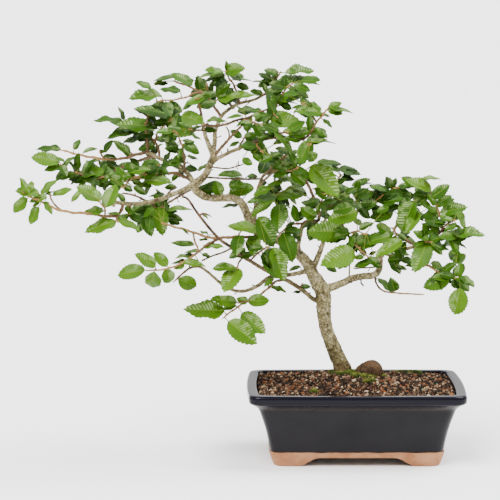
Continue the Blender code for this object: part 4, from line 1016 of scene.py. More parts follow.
# For each stem its shoots: radius at the foot and the tip, the route as seen x, seen z and depth, and the
# leaves. A leaf has the tip and the base of its blade, each as seen x and z, and its seen width over its
# seen length. A leaf of a back stem that other leaves hide has only its tip, and a share of LEAF_WIDTH.
SPRAYS = {
    "spray_far_left": (
        Shoot(1.7, 0.7, ((-149, 301, -51), (-151, 293, -55), (-157, 286.5, -60), (-170, 286, -66),
                         (-190, 289, -74), (-210, 290.5, -82), (-228, 294.5, -90), (-240, 301, -93),
                         (-252, 306, -96), (-265, 313, -99)),
              ((-280.5, 291, -261, 307, 0.5), (-275, 318, -247, 313, 0.4), (-270, 332, -259, 312, 0.38),
               (-261, 277, -248, 297, 0.45), (-230.5, 289, -242, 303, 0.42), (-256, 297, -246, 304, 0.35),
               (-256.5, 328, -258, 315, 0.75), (-260, 304, -238, 308, 0.4))),
        Shoot(0.9, 0.6, ((-222, 293, -87), (-230, 300, -82), (-235, 311, -78)),
              ((-209, 320.5, -231.5, 310, 0.33), (-227, 330, -245, 311, 0.33),
               (-229, 316.5, -240, 312, 0.2))),
        Shoot(0.9, 0.6, ((-170, 286, -66), (-171, 295, -74), (-176, 303, -80)),
              ((-158, 326, -169, 296, 0.6), (-196.5, 293.5, -172, 291.5, 0.43),
               (-203, 324, -175, 304, 0.48), (-212, 304, -196, 315, 0.35))),
        Shoot(0.9, 0.6, ((-157, 286.5, -60), (-156, 280, -70), (-155, 279, -78)),
              ((-127, 270.5, -155, 281, 0.36), (-195, 272, -157, 280, 0.38),
               (-168, 291, -153, 288.5, 0.25))),
    ),
    "spray_left_under": (
        Shoot(0.9, 0.6, ((-118, 303, -34), (-112, 297, -25), (-105, 291, -18), (-100, 283, -14)),
              ((-137, 298, -110, 293, 0.45), (-67.5, 297, -97, 293.5, 0.15), (-78, 283.5, -99, 285.5, 0.27),
               (-115.5, 261.5, -123, 287, 0.55), (-102, 262.5, -108, 297, 0.5),
               (-81, 278, -100, 283.5, 0.42))),
    ),
    "spray_left_inner": (
        Shoot(0.9, 0.6, ((-140, 300.5, -46), (-142, 292, -40), (-143, 286, -36)),
              ((-129, 281.5, -142, 288, 0.55), (-150, 279, -143, 289, 0.6), (-155, 314, -147, 303, 0.5),
               (-139, 288, -146, 298, 0.6))),
    ),
    "spray_left_arm": (
        Shoot(1.7, 0.8, ((-121, 361.5, 37), (-135, 358, 44), (-148, 354, 50), (-165, 353, 56),
                         (-180, 354.5, 62), (-195, 357, 68), (-207, 360, 72), (-220, 363.5, 76)),
              ((-128.5, 346, -141, 353.5, 0.38), (-178.5, 366.5, -196, 360.5, 0.26),
               (-200, 377.5, -206, 364, 0.5), (-251, 367, -221, 364, 0.25))),
        Shoot(0.8, 0.6, ((-170, 353.5, 58), (-174, 358, 50), (-176, 363, 44)),
              ((-152, 343.5, -169, 350, 0.4), (-161.5, 376, -170.5, 361, 0.4),
               (-155.5, 355, -171, 357.5, 0.35), (-177, 363.5, -170, 361, 0.5))),
        Shoot(0.8, 0.6, ((-136, 358, 44), (-139, 360, 54), (-142, 363, 62)),
              ((-159.5, 377, -141, 357, 0.42),)),
    ),
    "spray_left_middle": (
        Shoot(1.8, 0.7, ((-70, 329, 3), (-78, 333, 6), (-88, 336.5, 6), (-105, 336, 2), (-120, 333, -4),
                         (-140, 331, -12), (-165, 331, -22), (-185, 332, -30), (-203, 335, -38),
                         (-213, 338, -42), (-221, 345, -46)),
              ((-241.5, 340, -222, 346, 0.5), (-203, 358, -219.5, 343.5, 0.36),
               (-256.5, 357, -222.5, 349.5, 0.38), (-198, 339.5, -213, 349, 0.25),
               (-226, 356.5, -217, 349.5, 0.2), (-215, 334.5, -221, 346, 0.75))),
        Shoot(0.8, 0.6, ((-188, 332.3, -31), (-196, 335, -40), (-203, 337, -46)),
              ((-200, 330.5, -188, 335, 0.45), (-228.5, 333, -203, 333.5, 0.17),
               (-193.5, 339, -171, 338, 0.5))),
        Shoot(0.8, 0.6, ((-158, 331, -19), (-166, 335, -12), (-175, 337, -6)),
              ((-179, 342.5, -160, 337.5, 0.3), (-178.5, 322.5, -160, 325, 0.3),
               (-146, 337.5, -161, 334.5, 0.4), (-196, 339.5, -209, 336.5, 0.3))),
        Shoot(0.8, 0.6, ((-140, 331, -12), (-144, 325, -22), (-149, 320, -30)),
              ((-120.5, 311.5, -137, 320.5, 0.5), (-189, 326, -165, 331, 0.35),
               (-137, 315.5, -150, 322, 0.5), (-114, 321.5, -125, 321, 0.45))),
        Shoot(0.8, 0.6, ((-116, 334, -2), (-124, 335, -12), (-133, 336, -22)),
              ((-92, 330.5, -125, 326, 0.3), (-95, 337, -109, 343, 0.5), (-117, 344.5, -142, 337.5, 0.3),
               (-130, 323.5, -113, 326, 0.35))),
    ),
    "spray_left_arm_low": (
        Shoot(0.8, 0.6, ((-98, 350, 23), (-102, 347, 14), (-107, 346, 6)),
              ((-134, 332, -101, 341, 0.3), (-128, 346.5, -105, 348, 0.34))),
    ),
    "spray_left_fork": (
        Shoot(0.8, 0.6, ((-80, 341, 12), (-78, 346, 22), (-74, 349, 30)),
              ((-94.5, 353, -79, 343, 0.42), (-62.5, 340.5, -77, 341, 0.5), (-49, 349, -61, 339, 0.32))),
    ),
    "spray_dark_twig": (
        Shoot(0.9, 0.6, ((-76, 338, 9), (-77, 352, 0), (-79, 367, -8), (-84, 380, -14), (-89, 388, -18)),
              ((-65, 373.5, -77, 371.5, 0.58), (-99.5, 374, -86, 371, 0.5), (-94.5, 383.5, -84, 380, 0.4),
               (-70, 376, -79, 374.5, 0.4))),
    ),
    "spray_left_upright": (
        Shoot(1.4, 0.7, ((-120, 361, 36), (-120, 371, 38), (-121, 381, 38), (-122, 392, 36),
                         (-119, 404, 32)),
              ((-159, 397, -113, 392, 0.42), (-134, 417.5, -91, 404, 0.36), (-136, 412.5, -119, 404, 0.3),
               (-122, 405, -109, 399, 0.35))),
    ),
    "spray_left_upper": (
        Shoot(1.3, 0.7, ((-106, 354, 28), (-107, 365, 36), (-111, 373, 44), (-118, 380, 52),
                         (-132, 389, 60), (-147, 397, 66)),
              ((-151, 373.5, -120, 380, 0.22), (-168.5, 380, -132, 385, 0.17),
               (-183.5, 401, -148, 397, 0.25), (-159.5, 387.5, -146, 389.5, 0.3),
               (-102, 371.5, -110, 367, 0.35), (-111, 364.5, -108, 369, 0.7))),
        Shoot(0.9, 0.6, ((-111, 373, 44), (-108, 384, 36), (-102, 391, 28), (-91, 400, 20)),
              ((-66, 383, -96, 393.5, 0.62), (-115, 417, -92, 412, 0.45), (-79, 408, -97, 418, 0.65),
               (-113, 396, -91, 398, 0.4))),
    ),
    "spray_crown_left": (
        Shoot(1.3, 0.6, ((-57, 405, -42), (-59, 414, -49), (-62, 424, -56)),
              ((-45, 424, -50, 431, 0.5), (-76.5, 419, -52, 426, 0.4))),
    ),
    "spray_crown_left_side": (
        Shoot(0.9, 0.6, ((-54, 387, -31), (-63, 387, -39), (-70, 388, -45)),
              ((-54, 396.5, -80, 404.5, 0.62), (-96, 392, -80, 388, 0.3), (-56.5, 377, -72, 383, 0.15))),
    ),
    "spray_top_middle": (
        Shoot(1, 0.7, ((-13, 418, 27.5), (-14, 428, 20), (-18, 438, 14), (-23, 446, 9), (-28, 455, 5)),
              ((3, 446.5, -21, 446, 0.24), (-62.5, 451.5, -31, 455.5, 0.24), (-9, 459, -28.5, 457, 0.78),
               (-52.5, 459, -30, 452.5, 0.25))),
    ),
    "spray_top_left": (
        Shoot(1.5, 0.7, ((-34, 403, 15), (-40, 412, 19), (-46, 421, 22), (-54, 430, 26), (-66, 436, 31),
                         (-76, 440, 35), (-88, 444, 39)),
              ((-43, 439, -50, 429, 0.6), (-90, 457, -67, 440, 0.38), (-114, 448.5, -86, 450, 0.26),
               (-95, 442.5, -112.5, 441.5, 0.36))),
        Shoot(0.9, 0.6, ((-52, 428, 25), (-62, 431, 20), (-74, 426, 15), (-86, 423, 11), (-108, 421, 5)),
              ((-106, 438.5, -81, 432.5, 0.38), (-93, 403.5, -99, 420, 0.75),
               (-141.5, 427.5, -102.5, 427, 0.28), (-133, 444.5, -115, 436, 0.4))),
        Shoot(0.8, 0.6, ((-48, 423, 23), (-49, 433, 16), (-51, 441, 10)),
              ((-61, 450.5, -58, 434, 0.62), (-31, 451, -52, 444.5, 0.3), (-53, 446, -54, 433, 0.35))),
        Shoot(0.8, 0.6, ((-44, 418, 21), (-40, 421, 12), (-36, 424, 4)),
              ((-62.5, 413.5, -48, 422, 0.6), (-24, 442, -40, 428.5, 0.45), (9.5, 430.5, -37, 424.5, 0.31),
               (-13, 431, -38, 425.5, 0.4))),
    ),
    "spray_top_right": (
        Shoot(1.1, 0.7, ((22, 433, 35), (28, 441, 36), (31, 448, 36), (35, 454, 37)),
              ((1.5, 445.5, 25, 442.5, 0.2), (82.5, 446.5, 33, 443, 0.2), (16, 458.5, 33, 451.5, 0.5),
               (75.5, 459, 41, 453.5, 0.23))),
    ),
    "spray_top_side": (
        Shoot(0.9, 0.6, ((15, 428, 34), (21, 429, 24), (26, 428, 16)),
              ((50, 439.5, 36, 440, 0.2), (29, 413, 22, 431, 0.66), (12, 412, -15, 408, 0.38))),
    ),
    "spray_crown_right": (
        Shoot(1, 0.7, ((-4, 401, -42), (9, 407, -38), (19, 411, -34), (28, 411, -30), (34, 423, -28),
                       (41, 434, -27), (48, 441, -28)),
              ((-17.5, 416.5, -10, 412, 0.35), (25, 433.5, 44, 438, 0.38), (70, 427.5, 50, 432, 0.42),
               (82.5, 446, 60, 445, 0.42), (72, 411, 58, 426, 0.42))),
        Shoot(0.8, 0.6, ((25, 411, -31), (27, 406, -40), (31, 403, -46)),
              ((60.5, 398, 22, 401, 0.5), (57, 418.5, 34, 421.5, 0.15), (20, 396, 5, 406, 0.5),
               (45, 420, 33, 415, 0.2))),
    ),
    "spray_crown_right_low": (
        Shoot(0.9, 0.6, ((-8, 400, -41), (2, 397, -50), (12, 394, -58)),
              ((-28.5, 402, -9, 404, 0.25), (36.5, 392.5, 20, 394, 0.26), (15, 405.5, 3, 403.5, 0.5))),
    ),
    "spray_crown_inner": (
        Shoot(0.8, 0.6, ((-14, 365, -31), (-10, 373, -28), (-5, 381, -25), (-1, 388, -22)),
              ((7, 383, -6, 377, 0.7), (8, 388.5, 0, 393, 0.4), (-12, 395, -4, 396, 0.35))),
    ),
    "spray_crown_middle": (
        Shoot(0.9, 0.6, ((4, 372, -40), (9, 368, -49), (14, 362, -57)),
              ((3, 347, -9, 353.5, 0.65), (23, 359, 1, 374, 0.38), (26, 372.5, 43, 375, 0.3),
               (19, 357.5, 0, 363, 0.5), (14, 350.5, 3, 359, 0.5), (10, 350, 26, 356, 0.5),
               (35.5, 360.5, 28, 356, 0.5))),
    ),
    "spray_crown_far": (
        Shoot(0.9, 0.6, ((28, 378, -50), (35, 383, -58), (43, 385, -65)),
              ((20.5, 384, 34, 388, 0.7), (73.5, 388, 38, 385.5, 0.2), (53, 364, 29, 386, 0.28),
               (55, 379, 66, 378, 0.4))),
    ),
    "spray_upper_right": (
        Shoot(1.2, 0.7, ((44, 379, -56), (58, 376, -60), (66, 379, -63), (72, 386, -66), (77, 395, -68),
                         (83, 403, -70), (90, 411, -72)),
              ((94, 405.5, 80, 405, 0.3), (122, 410, 92, 414.5, 0.2))),
        Shoot(0.9, 0.6, ((78, 396, -68), (73, 404, -64), (68, 411, -60), (62, 418, -56)),
              ((54, 412.5, 77, 406, 0.42), (84.5, 410.5, 72, 419, 0.42), (56, 431, 39, 428, 0.4))),
        Shoot(0.9, 0.6, ((61, 377, -61), (65, 373, -70), (70, 370, -78)),
              ((101, 376.5, 71, 373, 0.25), (57, 346.5, 71, 375, 0.55), (79, 349, 68, 361, 0.8))),
    ),
    "spray_centre_top": (
        Shoot(1.2, 0.7, ((29, 346, -28), (36, 352, -32), (46, 361, -38)),
              ((29.5, 367, 51, 357.5, 0.36), (58, 372.5, 45, 386, 0.5), (55, 348.5, 41, 355.5, 0.28))),
    ),
    "spray_centre_side": (
        Shoot(0.9, 0.6, ((22, 339, -24), (34, 341, -32), (44, 339, -40), (55, 342, -46)),
              ((64, 323, 29, 333, 0.33), (50.5, 346, 35, 342.5, 0.28), (66, 323, 47, 339, 0.5),
               (20, 324, 38, 325, 0.4))),
    ),
    "spray_centre_right": (
        Shoot(1.4, 0.7, ((72, 314, -26), (67, 326, -30), (62, 337, -35), (53, 347, -40)),
              ((89, 306, 78, 320, 0.6), (103, 312, 72, 346, 0.6), (106, 349.5, 78, 349.5, 0.25),
               (64, 312.5, 29, 309.5, 0.34), (-5, 303, 32, 309.5, 0.28), (2, 314, 25, 318, 0.35))),
    ),
    "spray_centre_middle": (
        Shoot(0.9, 0.6, ((79, 297, -17), (84, 304, -26), (88, 312, -34)),
              ((58.5, 296.5, 77, 284, 0.6), (97, 292, 120, 297, 0.55), (66, 315.5, 48, 320.5, 0.2),
               (60, 303, 78, 296, 0.5), (57, 286, 79, 284.5, 0.25), (100, 304.5, 118, 309, 0.45))),
    ),
    "spray_centre_hanging": (
        Shoot(1.2, 0.7, ((63, 277, 0), (54, 277, -8), (45, 274, -14), (34, 264, -22)),
              ((50, 295, 38, 299.5, 0.3), (32, 273, 35, 300, 0.85), (50.5, 231, 39, 267, 0.55),
               (-2, 287.5, 29, 306, 0.33), (33, 212, 18, 246, 0.55), (56, 268.5, 41, 272, 0.35))),
    ),
    "spray_centre_outer": (
        Shoot(1.1, 0.7, ((81, 290, -13), (90, 295, -12), (100, 300, -11), (114, 303, -10)),
              ((99, 281.5, 81, 288, 0.3), (136, 273, 119, 282, 0.3), (144.5, 302.5, 130, 301, 0.55),
               (139, 318, 126, 312, 0.6), (61, 271.5, 72, 279, 0.4), (126, 319, 112, 313, 0.5))),
    ),
    "spray_front_big": (
        Shoot(0.9, 0.7, ((0, 233, -18), (8, 241, -26), (19, 249, -34)),
              ((41, 208.5, 27, 249, 0.45), (32, 249.5, 9, 285, 0.5), (-17, 241, -12, 263, 0.75))),
    ),
    "spray_low_limb": (
        Shoot(1.7, 0.8, ((20, 262.5, 14.5), (6, 261, 1), (-14, 261.5, -8), (-30, 260.5, -14),
                         (-45, 260, -22), (-60, 264.5, -30), (-78, 270.5, -38), (-92, 274, -44),
                         (-102, 278, -48)),
              ((-126, 285, -112, 295, 0.45), (-120, 266, -117, 288, 0.5), (-96, 291.5, -100, 303, 0.35),
               (-61, 259, -50, 257.5, 0.3), (-60, 268, -49, 265, 0.3), (-71, 264, -80, 270.5, 0.25))),
        Shoot(0.9, 0.6, ((-67, 267, -33), (-65, 257, -38), (-60, 245, -44)),
              ((-94, 257, -66, 251.5, 0.3), (-78.5, 243, -60, 244.5, 0.3), (-89, 236.5, -66, 239.5, 0.28),
               (-46, 237.5, -57, 241, 0.4))),
        Shoot(0.8, 0.6, ((4, 261, 0), (7, 264, -10), (9, 267, -18)),
              ((-27, 275.5, 11, 269.5, 0.35), (3, 240.5, 5, 264, 0.8))),
        Shoot(0.8, 0.6, ((-14, 261.5, -8), (-13, 265, -17), (-10, 268, -23)),
              ((-25.5, 236.5, -5, 247, 0.42),)),
    ),
    "spray_lower_left": (
        Shoot(1.2, 0.6, ((-36, 259, -37), (-47, 254, -44), (-58, 246, -52), (-68, 238, -58),
                         (-79, 231, -64), (-90, 226, -68), (-104, 222.5, -72), (-120, 221.5, -76)),
              ((-30, 251.5, -56, 249, 0.25), (-51, 229.5, -80, 230.5, 0.32), (-90, 224.5, -77, 227, 0.45),
               (-95, 205.5, -98, 224.5, 0.72), (-113, 243.5, -97, 226.5, 0.5),
               (-115.5, 199, -113, 220.5, 0.76), (-135.5, 242, -111, 226, 0.48),
               (-157.5, 218, -123.5, 222, 0.42), (-78, 234, -60, 232.5, 0.25))),
    ),
    "spray_low_end": (
        Shoot(0.9, 0.6, ((-60, 287, -47), (-53, 289, -54), (-47, 286, -60)),
              ((-48.5, 283.5, -57, 290, 0.3),)),
    ),
    "spray_low_front": (
        Shoot(0.9, 0.6, ((-8, 238, -22), (-13, 231, -31), (-15, 225, -38)),
              ((-31, 196.5, -14, 225, 0.72), (-44.5, 225, -17, 225.5, 0.17))),
    ),
    "spray_low_tip": (
        Shoot(1, 0.7, ((-70, 225, -50), (-77, 220, -54), (-89, 209, -60)),
              ((-60, 201.5, -85, 211, 0.62), (-94, 231, -75, 232, 0.35))),
    ),
    "spray_bottom": (
        Shoot(1.2, 0.7, ((41, 211, 2), (30, 208, -8), (20, 199, -16), (10, 192, -22), (-3, 185, -30),
                         (-16, 177, -36), (-31, 166, -44)),
              ((18, 147, -10, 171, 0.58), (-79, 178, -30, 173, 0.45), (8, 134.5, -26, 161, 0.56),
               (-33, 176.5, -16, 180, 0.4))),
        Shoot(0.8, 0.6, ((-1, 186, -29), (-8, 184, -37), (-14, 183, -44)),
              ((24, 187.5, -3, 185, 0.52), (-47, 188.5, -15, 184, 0.38), (-15, 188.5, -3, 184, 0.75))),
        Shoot(0.8, 0.6, ((24, 202.6, -12.8), (22, 203, -4), (24, 202, 6)),
              ((44, 197, 25, 200.5, 0.3), (16, 203, 28, 212, 0.4))),
    ),
    "spray_trunk_low": (
        Shoot(0.9, 0.6, ((58, 201, 12), (61, 204, 2), (62, 206, -6)),
              ((72, 202.5, 60, 202, 0.48), (50, 196.5, 60, 195.5, 0.4))),
    ),
    "spray_right_fork": (
        Shoot(1.3, 0.6, ((109, 274, -2), (116, 262, -12), (123, 253, -22), (131, 245, -30),
                         (140, 237, -36)),
              ((70.5, 268, 110, 267, 0.62), (85.5, 229, 123, 245, 0.62), (146, 240.5, 179, 258, 0.42),
               (102, 220.5, 90, 227.5, 0.6), (70, 256, 77, 281, 0.55), (103, 226, 118, 229.5, 0.25))),
        Shoot(0.8, 0.6, ((115, 264, -10), (124, 268, -20), (136, 265, -30)),
              ((94, 282, 126, 291, 0.62), (149, 291, 163, 297, 0.55), (140, 240, 119, 268, 0.2),
               (121, 238, 134, 237, 0.5), (122, 230, 149, 232, 0.18))),
    ),
    "spray_right_fork_back": (
        Shoot(1.1, 0.6, ((98, 270.5, 3), (112, 280, 8), (126, 291, 14), (138, 298, 20), (148, 305, 24),
                         (160, 313, 28), (172, 319, 32)),
              ((141, 283, 128, 297, 0.55), (181, 308, 153.5, 301.5, 0.46), (160, 331, 166, 318.5, 0.7),
               (171.5, 331, 167, 320, 0.55), (188, 311, 165, 313.5, 0.22), (141, 287, 166, 286, 0.45),
               (152, 291, 176, 297, 0.4))),
        Shoot(0.8, 0.6, ((126, 291, 14), (125, 303, 20), (120, 314, 26)),
              ((104, 313, 116, 320, 0.4), (141.5, 330.5, 119, 322, 0.22), (145, 326, 126, 321.5, 0.18),
               (160, 319, 141, 320.5, 0.18), (158, 315.5, 146, 317, 0.15))),
    ),
    "spray_right_up": (
        Shoot(1.2, 0.6, ((218, 261.5, -43), (226, 270, -43), (225, 281, -41), (221, 293, -39),
                         (217, 303, -38), (212, 315, -38)),
              ((254.5, 298.5, 224, 290, 0.48), (175, 267, 193, 304, 0.48), (240, 309, 218, 297.5, 0.42),
               (178.5, 333, 196, 321, 0.5), (224.5, 331, 202, 330, 0.3), (184, 330.5, 213, 317, 0.42),
               (233, 322, 214, 308, 0.6), (181.5, 268, 199, 290, 0.4), (215, 294, 200, 304, 0.5),
               (209, 263.5, 223, 271.5, 0.6), (234, 262.5, 225, 272, 0.55))),
        Shoot(0.8, 0.6, ((226, 272, -43), (233, 277, -50), (240, 281, -56)),
              ((254, 269.5, 243, 291, 0.42), (250, 290, 223, 285, 0.4), (201, 277.5, 216, 273, 0.35),
               (228, 271, 244, 275, 0.45))),
    ),
    "spray_right_tip": (
        Shoot(1, 0.6, ((214, 260, -41), (224, 261, -50), (238, 262, -56), (251, 263, -60)),
              ((277, 267.5, 237, 265.5, 0.17), (236, 248, 232, 260, 0.85), (255.5, 247.5, 240.5, 258, 0.33),
               (195, 267, 213, 267.5, 0.42), (268, 264, 237, 263, 0.08), (225.5, 254.5, 217, 258, 0.35))),
    ),
    "spray_right_hanging": (
        Shoot(0.9, 0.6, ((203, 255, -36), (208, 256, -46), (213, 255, -54)),
              ((194, 220, 208, 256, 0.62), (236.5, 247, 213, 252, 0.42), (186, 239, 175, 247, 0.6),
               (227, 240, 214, 251, 0.5))),
    ),
    "spray_right_inner": (
        Shoot(1, 0.6, ((194, 251, -32), (184, 258, -26), (174, 263, -20), (168, 271, -18)),
              ((139, 241, 149, 243.5, 0.35), (130.5, 256, 167, 262, 0.42), (196, 303, 212, 316, 0.6),
               (168, 264.5, 148, 275.5, 0.5), (196, 252, 178, 261.5, 0.4))),
    ),
    "spray_right_low": (
        Shoot(1.4, 0.7, ((158, 241.5, -15), (168, 238, -22), (180, 234, -30), (197, 230, -38),
                         (212, 226, -46), (224, 218.5, -52), (235, 214, -57), (247, 211, -62)),
              ((179, 218.5, 163.5, 238, 0.5), (235.5, 218.5, 213, 231, 0.4), (203.5, 201, 235, 212, 0.55),
               (234.5, 230.5, 245, 246.5, 0.72), (241.5, 166.5, 248, 200.5, 0.6),
               (266, 203, 247, 214.5, 0.38), (255, 241.5, 239, 231, 0.6), (185.5, 223.5, 172, 226, 0.45),
               (250, 231.5, 243, 214, 0.75), (247.5, 200, 239, 212, 0.7))),
    ),
    "spray_right_under": (
        Shoot(0.9, 0.6, ((147, 215.5, -1), (149, 206, -9), (156, 198, -15), (170, 195, -20),
                         (203, 193, -28)),
              ((166.5, 212, 171, 197, 0.75), (168, 198, 151, 212.5, 0.35))),
    ),
    "spray_back_left": (
        Shoot(1.1, 0.6, ((-146, 345, 74), (-160, 340, 88), (-176, 335, 104)),
              ((-150, 327, -132, 331, 0.35), (-191, 346.5, -176, 352.5, 0.3), (-180, 326, -168, 329, 0.4),
               (-198, 330, -190, 333, 0.5), (-171, 347.5, -158, 349.5, 0.45))),
    ),
    "spray_back_centre": (
        Shoot(1.1, 0.6, ((22, 306, 62), (36, 314, 80), (50, 320, 100)),
              ((12, 322.5, 19, 327, 0.7), (34, 334, 45, 334, 0.5), (68, 310, 0.7), (66, 332, 0.7),
               (42, 296, 0.7))),
    ),
    "spray_back_right": (
        Shoot(1.1, 0.6, ((92, 302, 62), (98, 320, 82), (106, 334, 102)),
              ((76, 316, 0.7), (118, 312, 0.7), (131, 337.5, 104, 342, 0.4), (107.5, 347, 94, 348, 0.45),
               (108, 342, 80, 345, 0.28))),
    ),
    "spray_back_far": (
        Shoot(1, 0.6, ((172, 274, 46), (184, 292, 66), (196, 308, 88)),
              ((146, 280, 168, 292, 0.5), (206, 284, 0.7), (222, 283, 213, 297, 0.5), (198, 328, 0.6),
               (172, 316, 0.6))),
    ),
    "spray_back_low": (
        Shoot(1, 0.6, ((-92, 304, 56), (-110, 292, 76), (-124, 284, 98)),
              ((-88, 287.5, -98, 292, 0.35), (-103, 274, -108, 288, 0.5), (-141, 291, -142, 299, 0.5),
               (-128, 270, -116, 284, 0.5), (-120, 310, -100, 312, 0.3))),
    ),
    "spray_back_top": (
        Shoot(0.9, 0.6, ((-28, 422, 46), (-38, 430, 66), (-50, 436, 84)),
              ((-14, 430, 0.6), (-58, 422, 0.7), (-74, 443, -66, 446, 0.7), (-44, 446, 0.6))),
    ),
    "spray_back_middle": (
        Shoot(1, 0.6, ((24, 335, 52), (34, 343, 72), (44, 352, 92)),
              ((12.5, 337.5, 19, 351, 0.95), (30, 364, 0.6), (66, 352, 0.7), (40, 328, 0.6))),
    ),
}

# The leaves on the old limbs, by the limb's place in LIMBS, with -1 for the trunk
LIMB_LEAVES = {
    -1: ((-34, 297, -14, 299, 0.27), (-66, 317, -43, 314.5, 0.48), (-58, 323, -31, 321, 0.38),
         (-40, 326, -35, 311, 0.8), (-10.5, 332.5, -24, 319, 0.5), (-26, 315.5, 5, 319, 0.42),
         (-24, 323, -4, 322, 0.4)),
    2: ((-101, 321, -86, 319, 0.5),),
    3: ((-92, 327, -84, 337, 0.5),),
    6: ((-27, 399.5, -51, 397.5, 0.2),),
    13: ((-38, 337, -9, 334.5, 0.18), (-4, 333, 9, 333, 0.4)),
    25: ((45, 222.5, 60, 226, 0.3),),
}


def seen_from_front(points):
    """Seen x, seen z and depth in millimetres of places in the solids' frame: placed() turned round."""
    away = (points - shift) / MM
    further = 1 - away[:, 1] / EYE[1]
    return np.stack([away[:, 0] / further, EYE[2] + (away[:, 2] - EYE[2]) / further, away[:, 1]], axis=1)


def leaf_line(leaf, rows, draw):
    """Where a leaf's stalk starts on its shoot's rows, the blade's base and tip, and its seen width share.

    The stalk starts on the row that is seen nearest the base. The tip leans to the front or the back by up
    to LEAF_LEAN of the seen length. A leaf that is seen too wide for its length leans as far as its true
    shape needs. A leaf given by its tip alone has its base BASE_BACK of the way back to the shoot.
    """
    seen = seen_from_front(rows[:, :3])
    tip = np.array(leaf[:2], float)
    if len(leaf) == 3:
        near = np.hypot(*(seen[:, :2] - tip).T).argmin()
        base, width = tip + (seen[near, :2] - tip) * BASE_BACK, LEAF_WIDTH * leaf[2]
    else:
        base, width = np.array(leaf[2:4], float), leaf[4]
        near = np.hypot(*(seen[:, :2] - base).T).argmin()
    length = np.hypot(*(tip - base))
    depth = seen[near, 2] + draw.uniform(-BASE_STRAY, BASE_STRAY)
    lean = draw.uniform(-LEAF_LEAN, LEAF_LEAN)
    if width > LEAF_WIDTH:
        lean = math.sqrt(min(width / LEAF_WIDTH, WIDEST_SEEN) ** 2 - 1) * (1 if depth < FAR_FRONT else -1)
    tip_depth = min(max(depth + lean * length, -GREATEST_DEPTH), GREATEST_DEPTH)
    return rows[near, :3], placed(*base, depth), placed(*tip, tip_depth), width


def leaf_axes(base, tip, width):
    """Directions along, across and out of a leaf's upper side, its length, and what widens it.

    A leaf that is seen narrower than LEAF_WIDTH is turned about its midrib, from the front to the sky, as
    far as that needs, but it still shows LEAST_SEEN of its width. One that is seen wider is widened.
    """
    reach = tip - base
    length = np.linalg.norm(reach)
    share = width * math.hypot(reach[0], reach[2]) / (LEAF_WIDTH * length)
    seen_share = min(1.0, max(share, LEAST_SEEN))
    along = reach / length
    to_front = np.array([0.0, -1.0, 0.12])
    facing = unit(to_front - along * (along @ to_front))
    up = np.cross(along, facing)
    if up[2] < 0:
        up = -up
    out = facing * seen_share + up * math.sqrt(1 - seen_share ** 2)
    return along, np.cross(out, along), out, length, min(max(share, 1.0), WIDEST_LEAF)


def blade():
    """Corners of a blade as share along, half width and rise, each a share of the leaf's length, the vein
    number and side share of each, and 1 for those of the underside.

    A row follows a vein: it leaves the midrib behind where it meets the margin, by 0.15 * sin(pi * x). The
    half width is x^0.6 * (1 - x)^0.85 over BLADE_PEAK, drawn in towards the tip. At the margin a row ends in
    a tooth, and a notch lies between two teeth. The halves swell above the straight line to the margin.
    """
    vein = np.arange(TEETH + 1.0)
    row_vein, row_side = (a.ravel() for a in np.meshgrid(vein, (-1.0, -0.5, 0.0, 0.5, 1.0), indexing="ij"))
    notch_vein, notch_side = (a.ravel() for a in np.meshgrid(vein[:-1] + 0.45, (-1.0, 1.0), indexing="ij"))
    number = np.concatenate([row_vein, notch_vein, vein])
    side = np.concatenate([row_side, notch_side, 0 * vein])
    is_tooth = np.concatenate([abs(row_side) == 1, 0 * notch_vein, 0 * vein])
    x = number / TEETH
    outline = x ** 0.6 * (1 - x) ** 0.85 / BLADE_PEAK * (1 - 0.4 * np.clip((x - 0.76) / 0.24, 0, 1) ** 2)
    fade = np.clip(np.minimum(x, 1 - x) * 8, 0, 1)
    half = (outline * 0.5 * LEAF_WIDTH + 0.002 + is_tooth * TOOTH_OUT * fade) * side
    share = x - 0.15 * np.sin(np.pi * x) * (1 - abs(side)) + is_tooth * TOOTH_ONWARD * fade
    swell = BLADE_SWELL * (abs(side) == 0.5) * np.clip(outline * 1.3, 0, 1)
    low = np.repeat([0.0, 1.0], [len(row_vein) + len(notch_vein), len(vein)])
    return np.stack([share, half, swell]), number, side, low


def leaf_faces():
    """Faces of one leaf. For each side and tooth: a quad by the midrib, and above and below it a pentagon
    that reaches the two teeth and their notch. One more face closes each end."""
    top = np.arange((TEETH + 1) * 5).reshape(-1, 5)
    notch = np.arange(TEETH * 2).reshape(-1, 2) + top.size
    low = np.arange(TEETH + 1) + top.size + notch.size
    quads, pentagons = [], []
    for rib, middle, margin, side in ((2, 3, 4, 1), (2, 1, 0, 0)):
        turn = 1 if side else -1
        teeth = [top[1:, margin], notch[:, side], top[:-1, margin]]
        near_rib = [top[:-1, rib], top[1:, rib], top[1:, middle], top[:-1, middle]]
        quads.append(np.stack(near_rib[::turn], axis=1))
        pentagons.append(np.stack(([top[:-1, middle], top[1:, middle]] + teeth)[::turn], axis=1))
        pentagons.append(np.stack(([low[:-1], low[1:]] + teeth)[::-turn], axis=1))
    ends = np.array([[*top[0], low[0]], [low[-1], *top[-1, ::-1]]])
    return [np.concatenate(quads), np.concatenate(pentagons), ends]


blade_grid, blade_vein, blade_side, blade_low = blade()
blade_faces = leaf_faces()


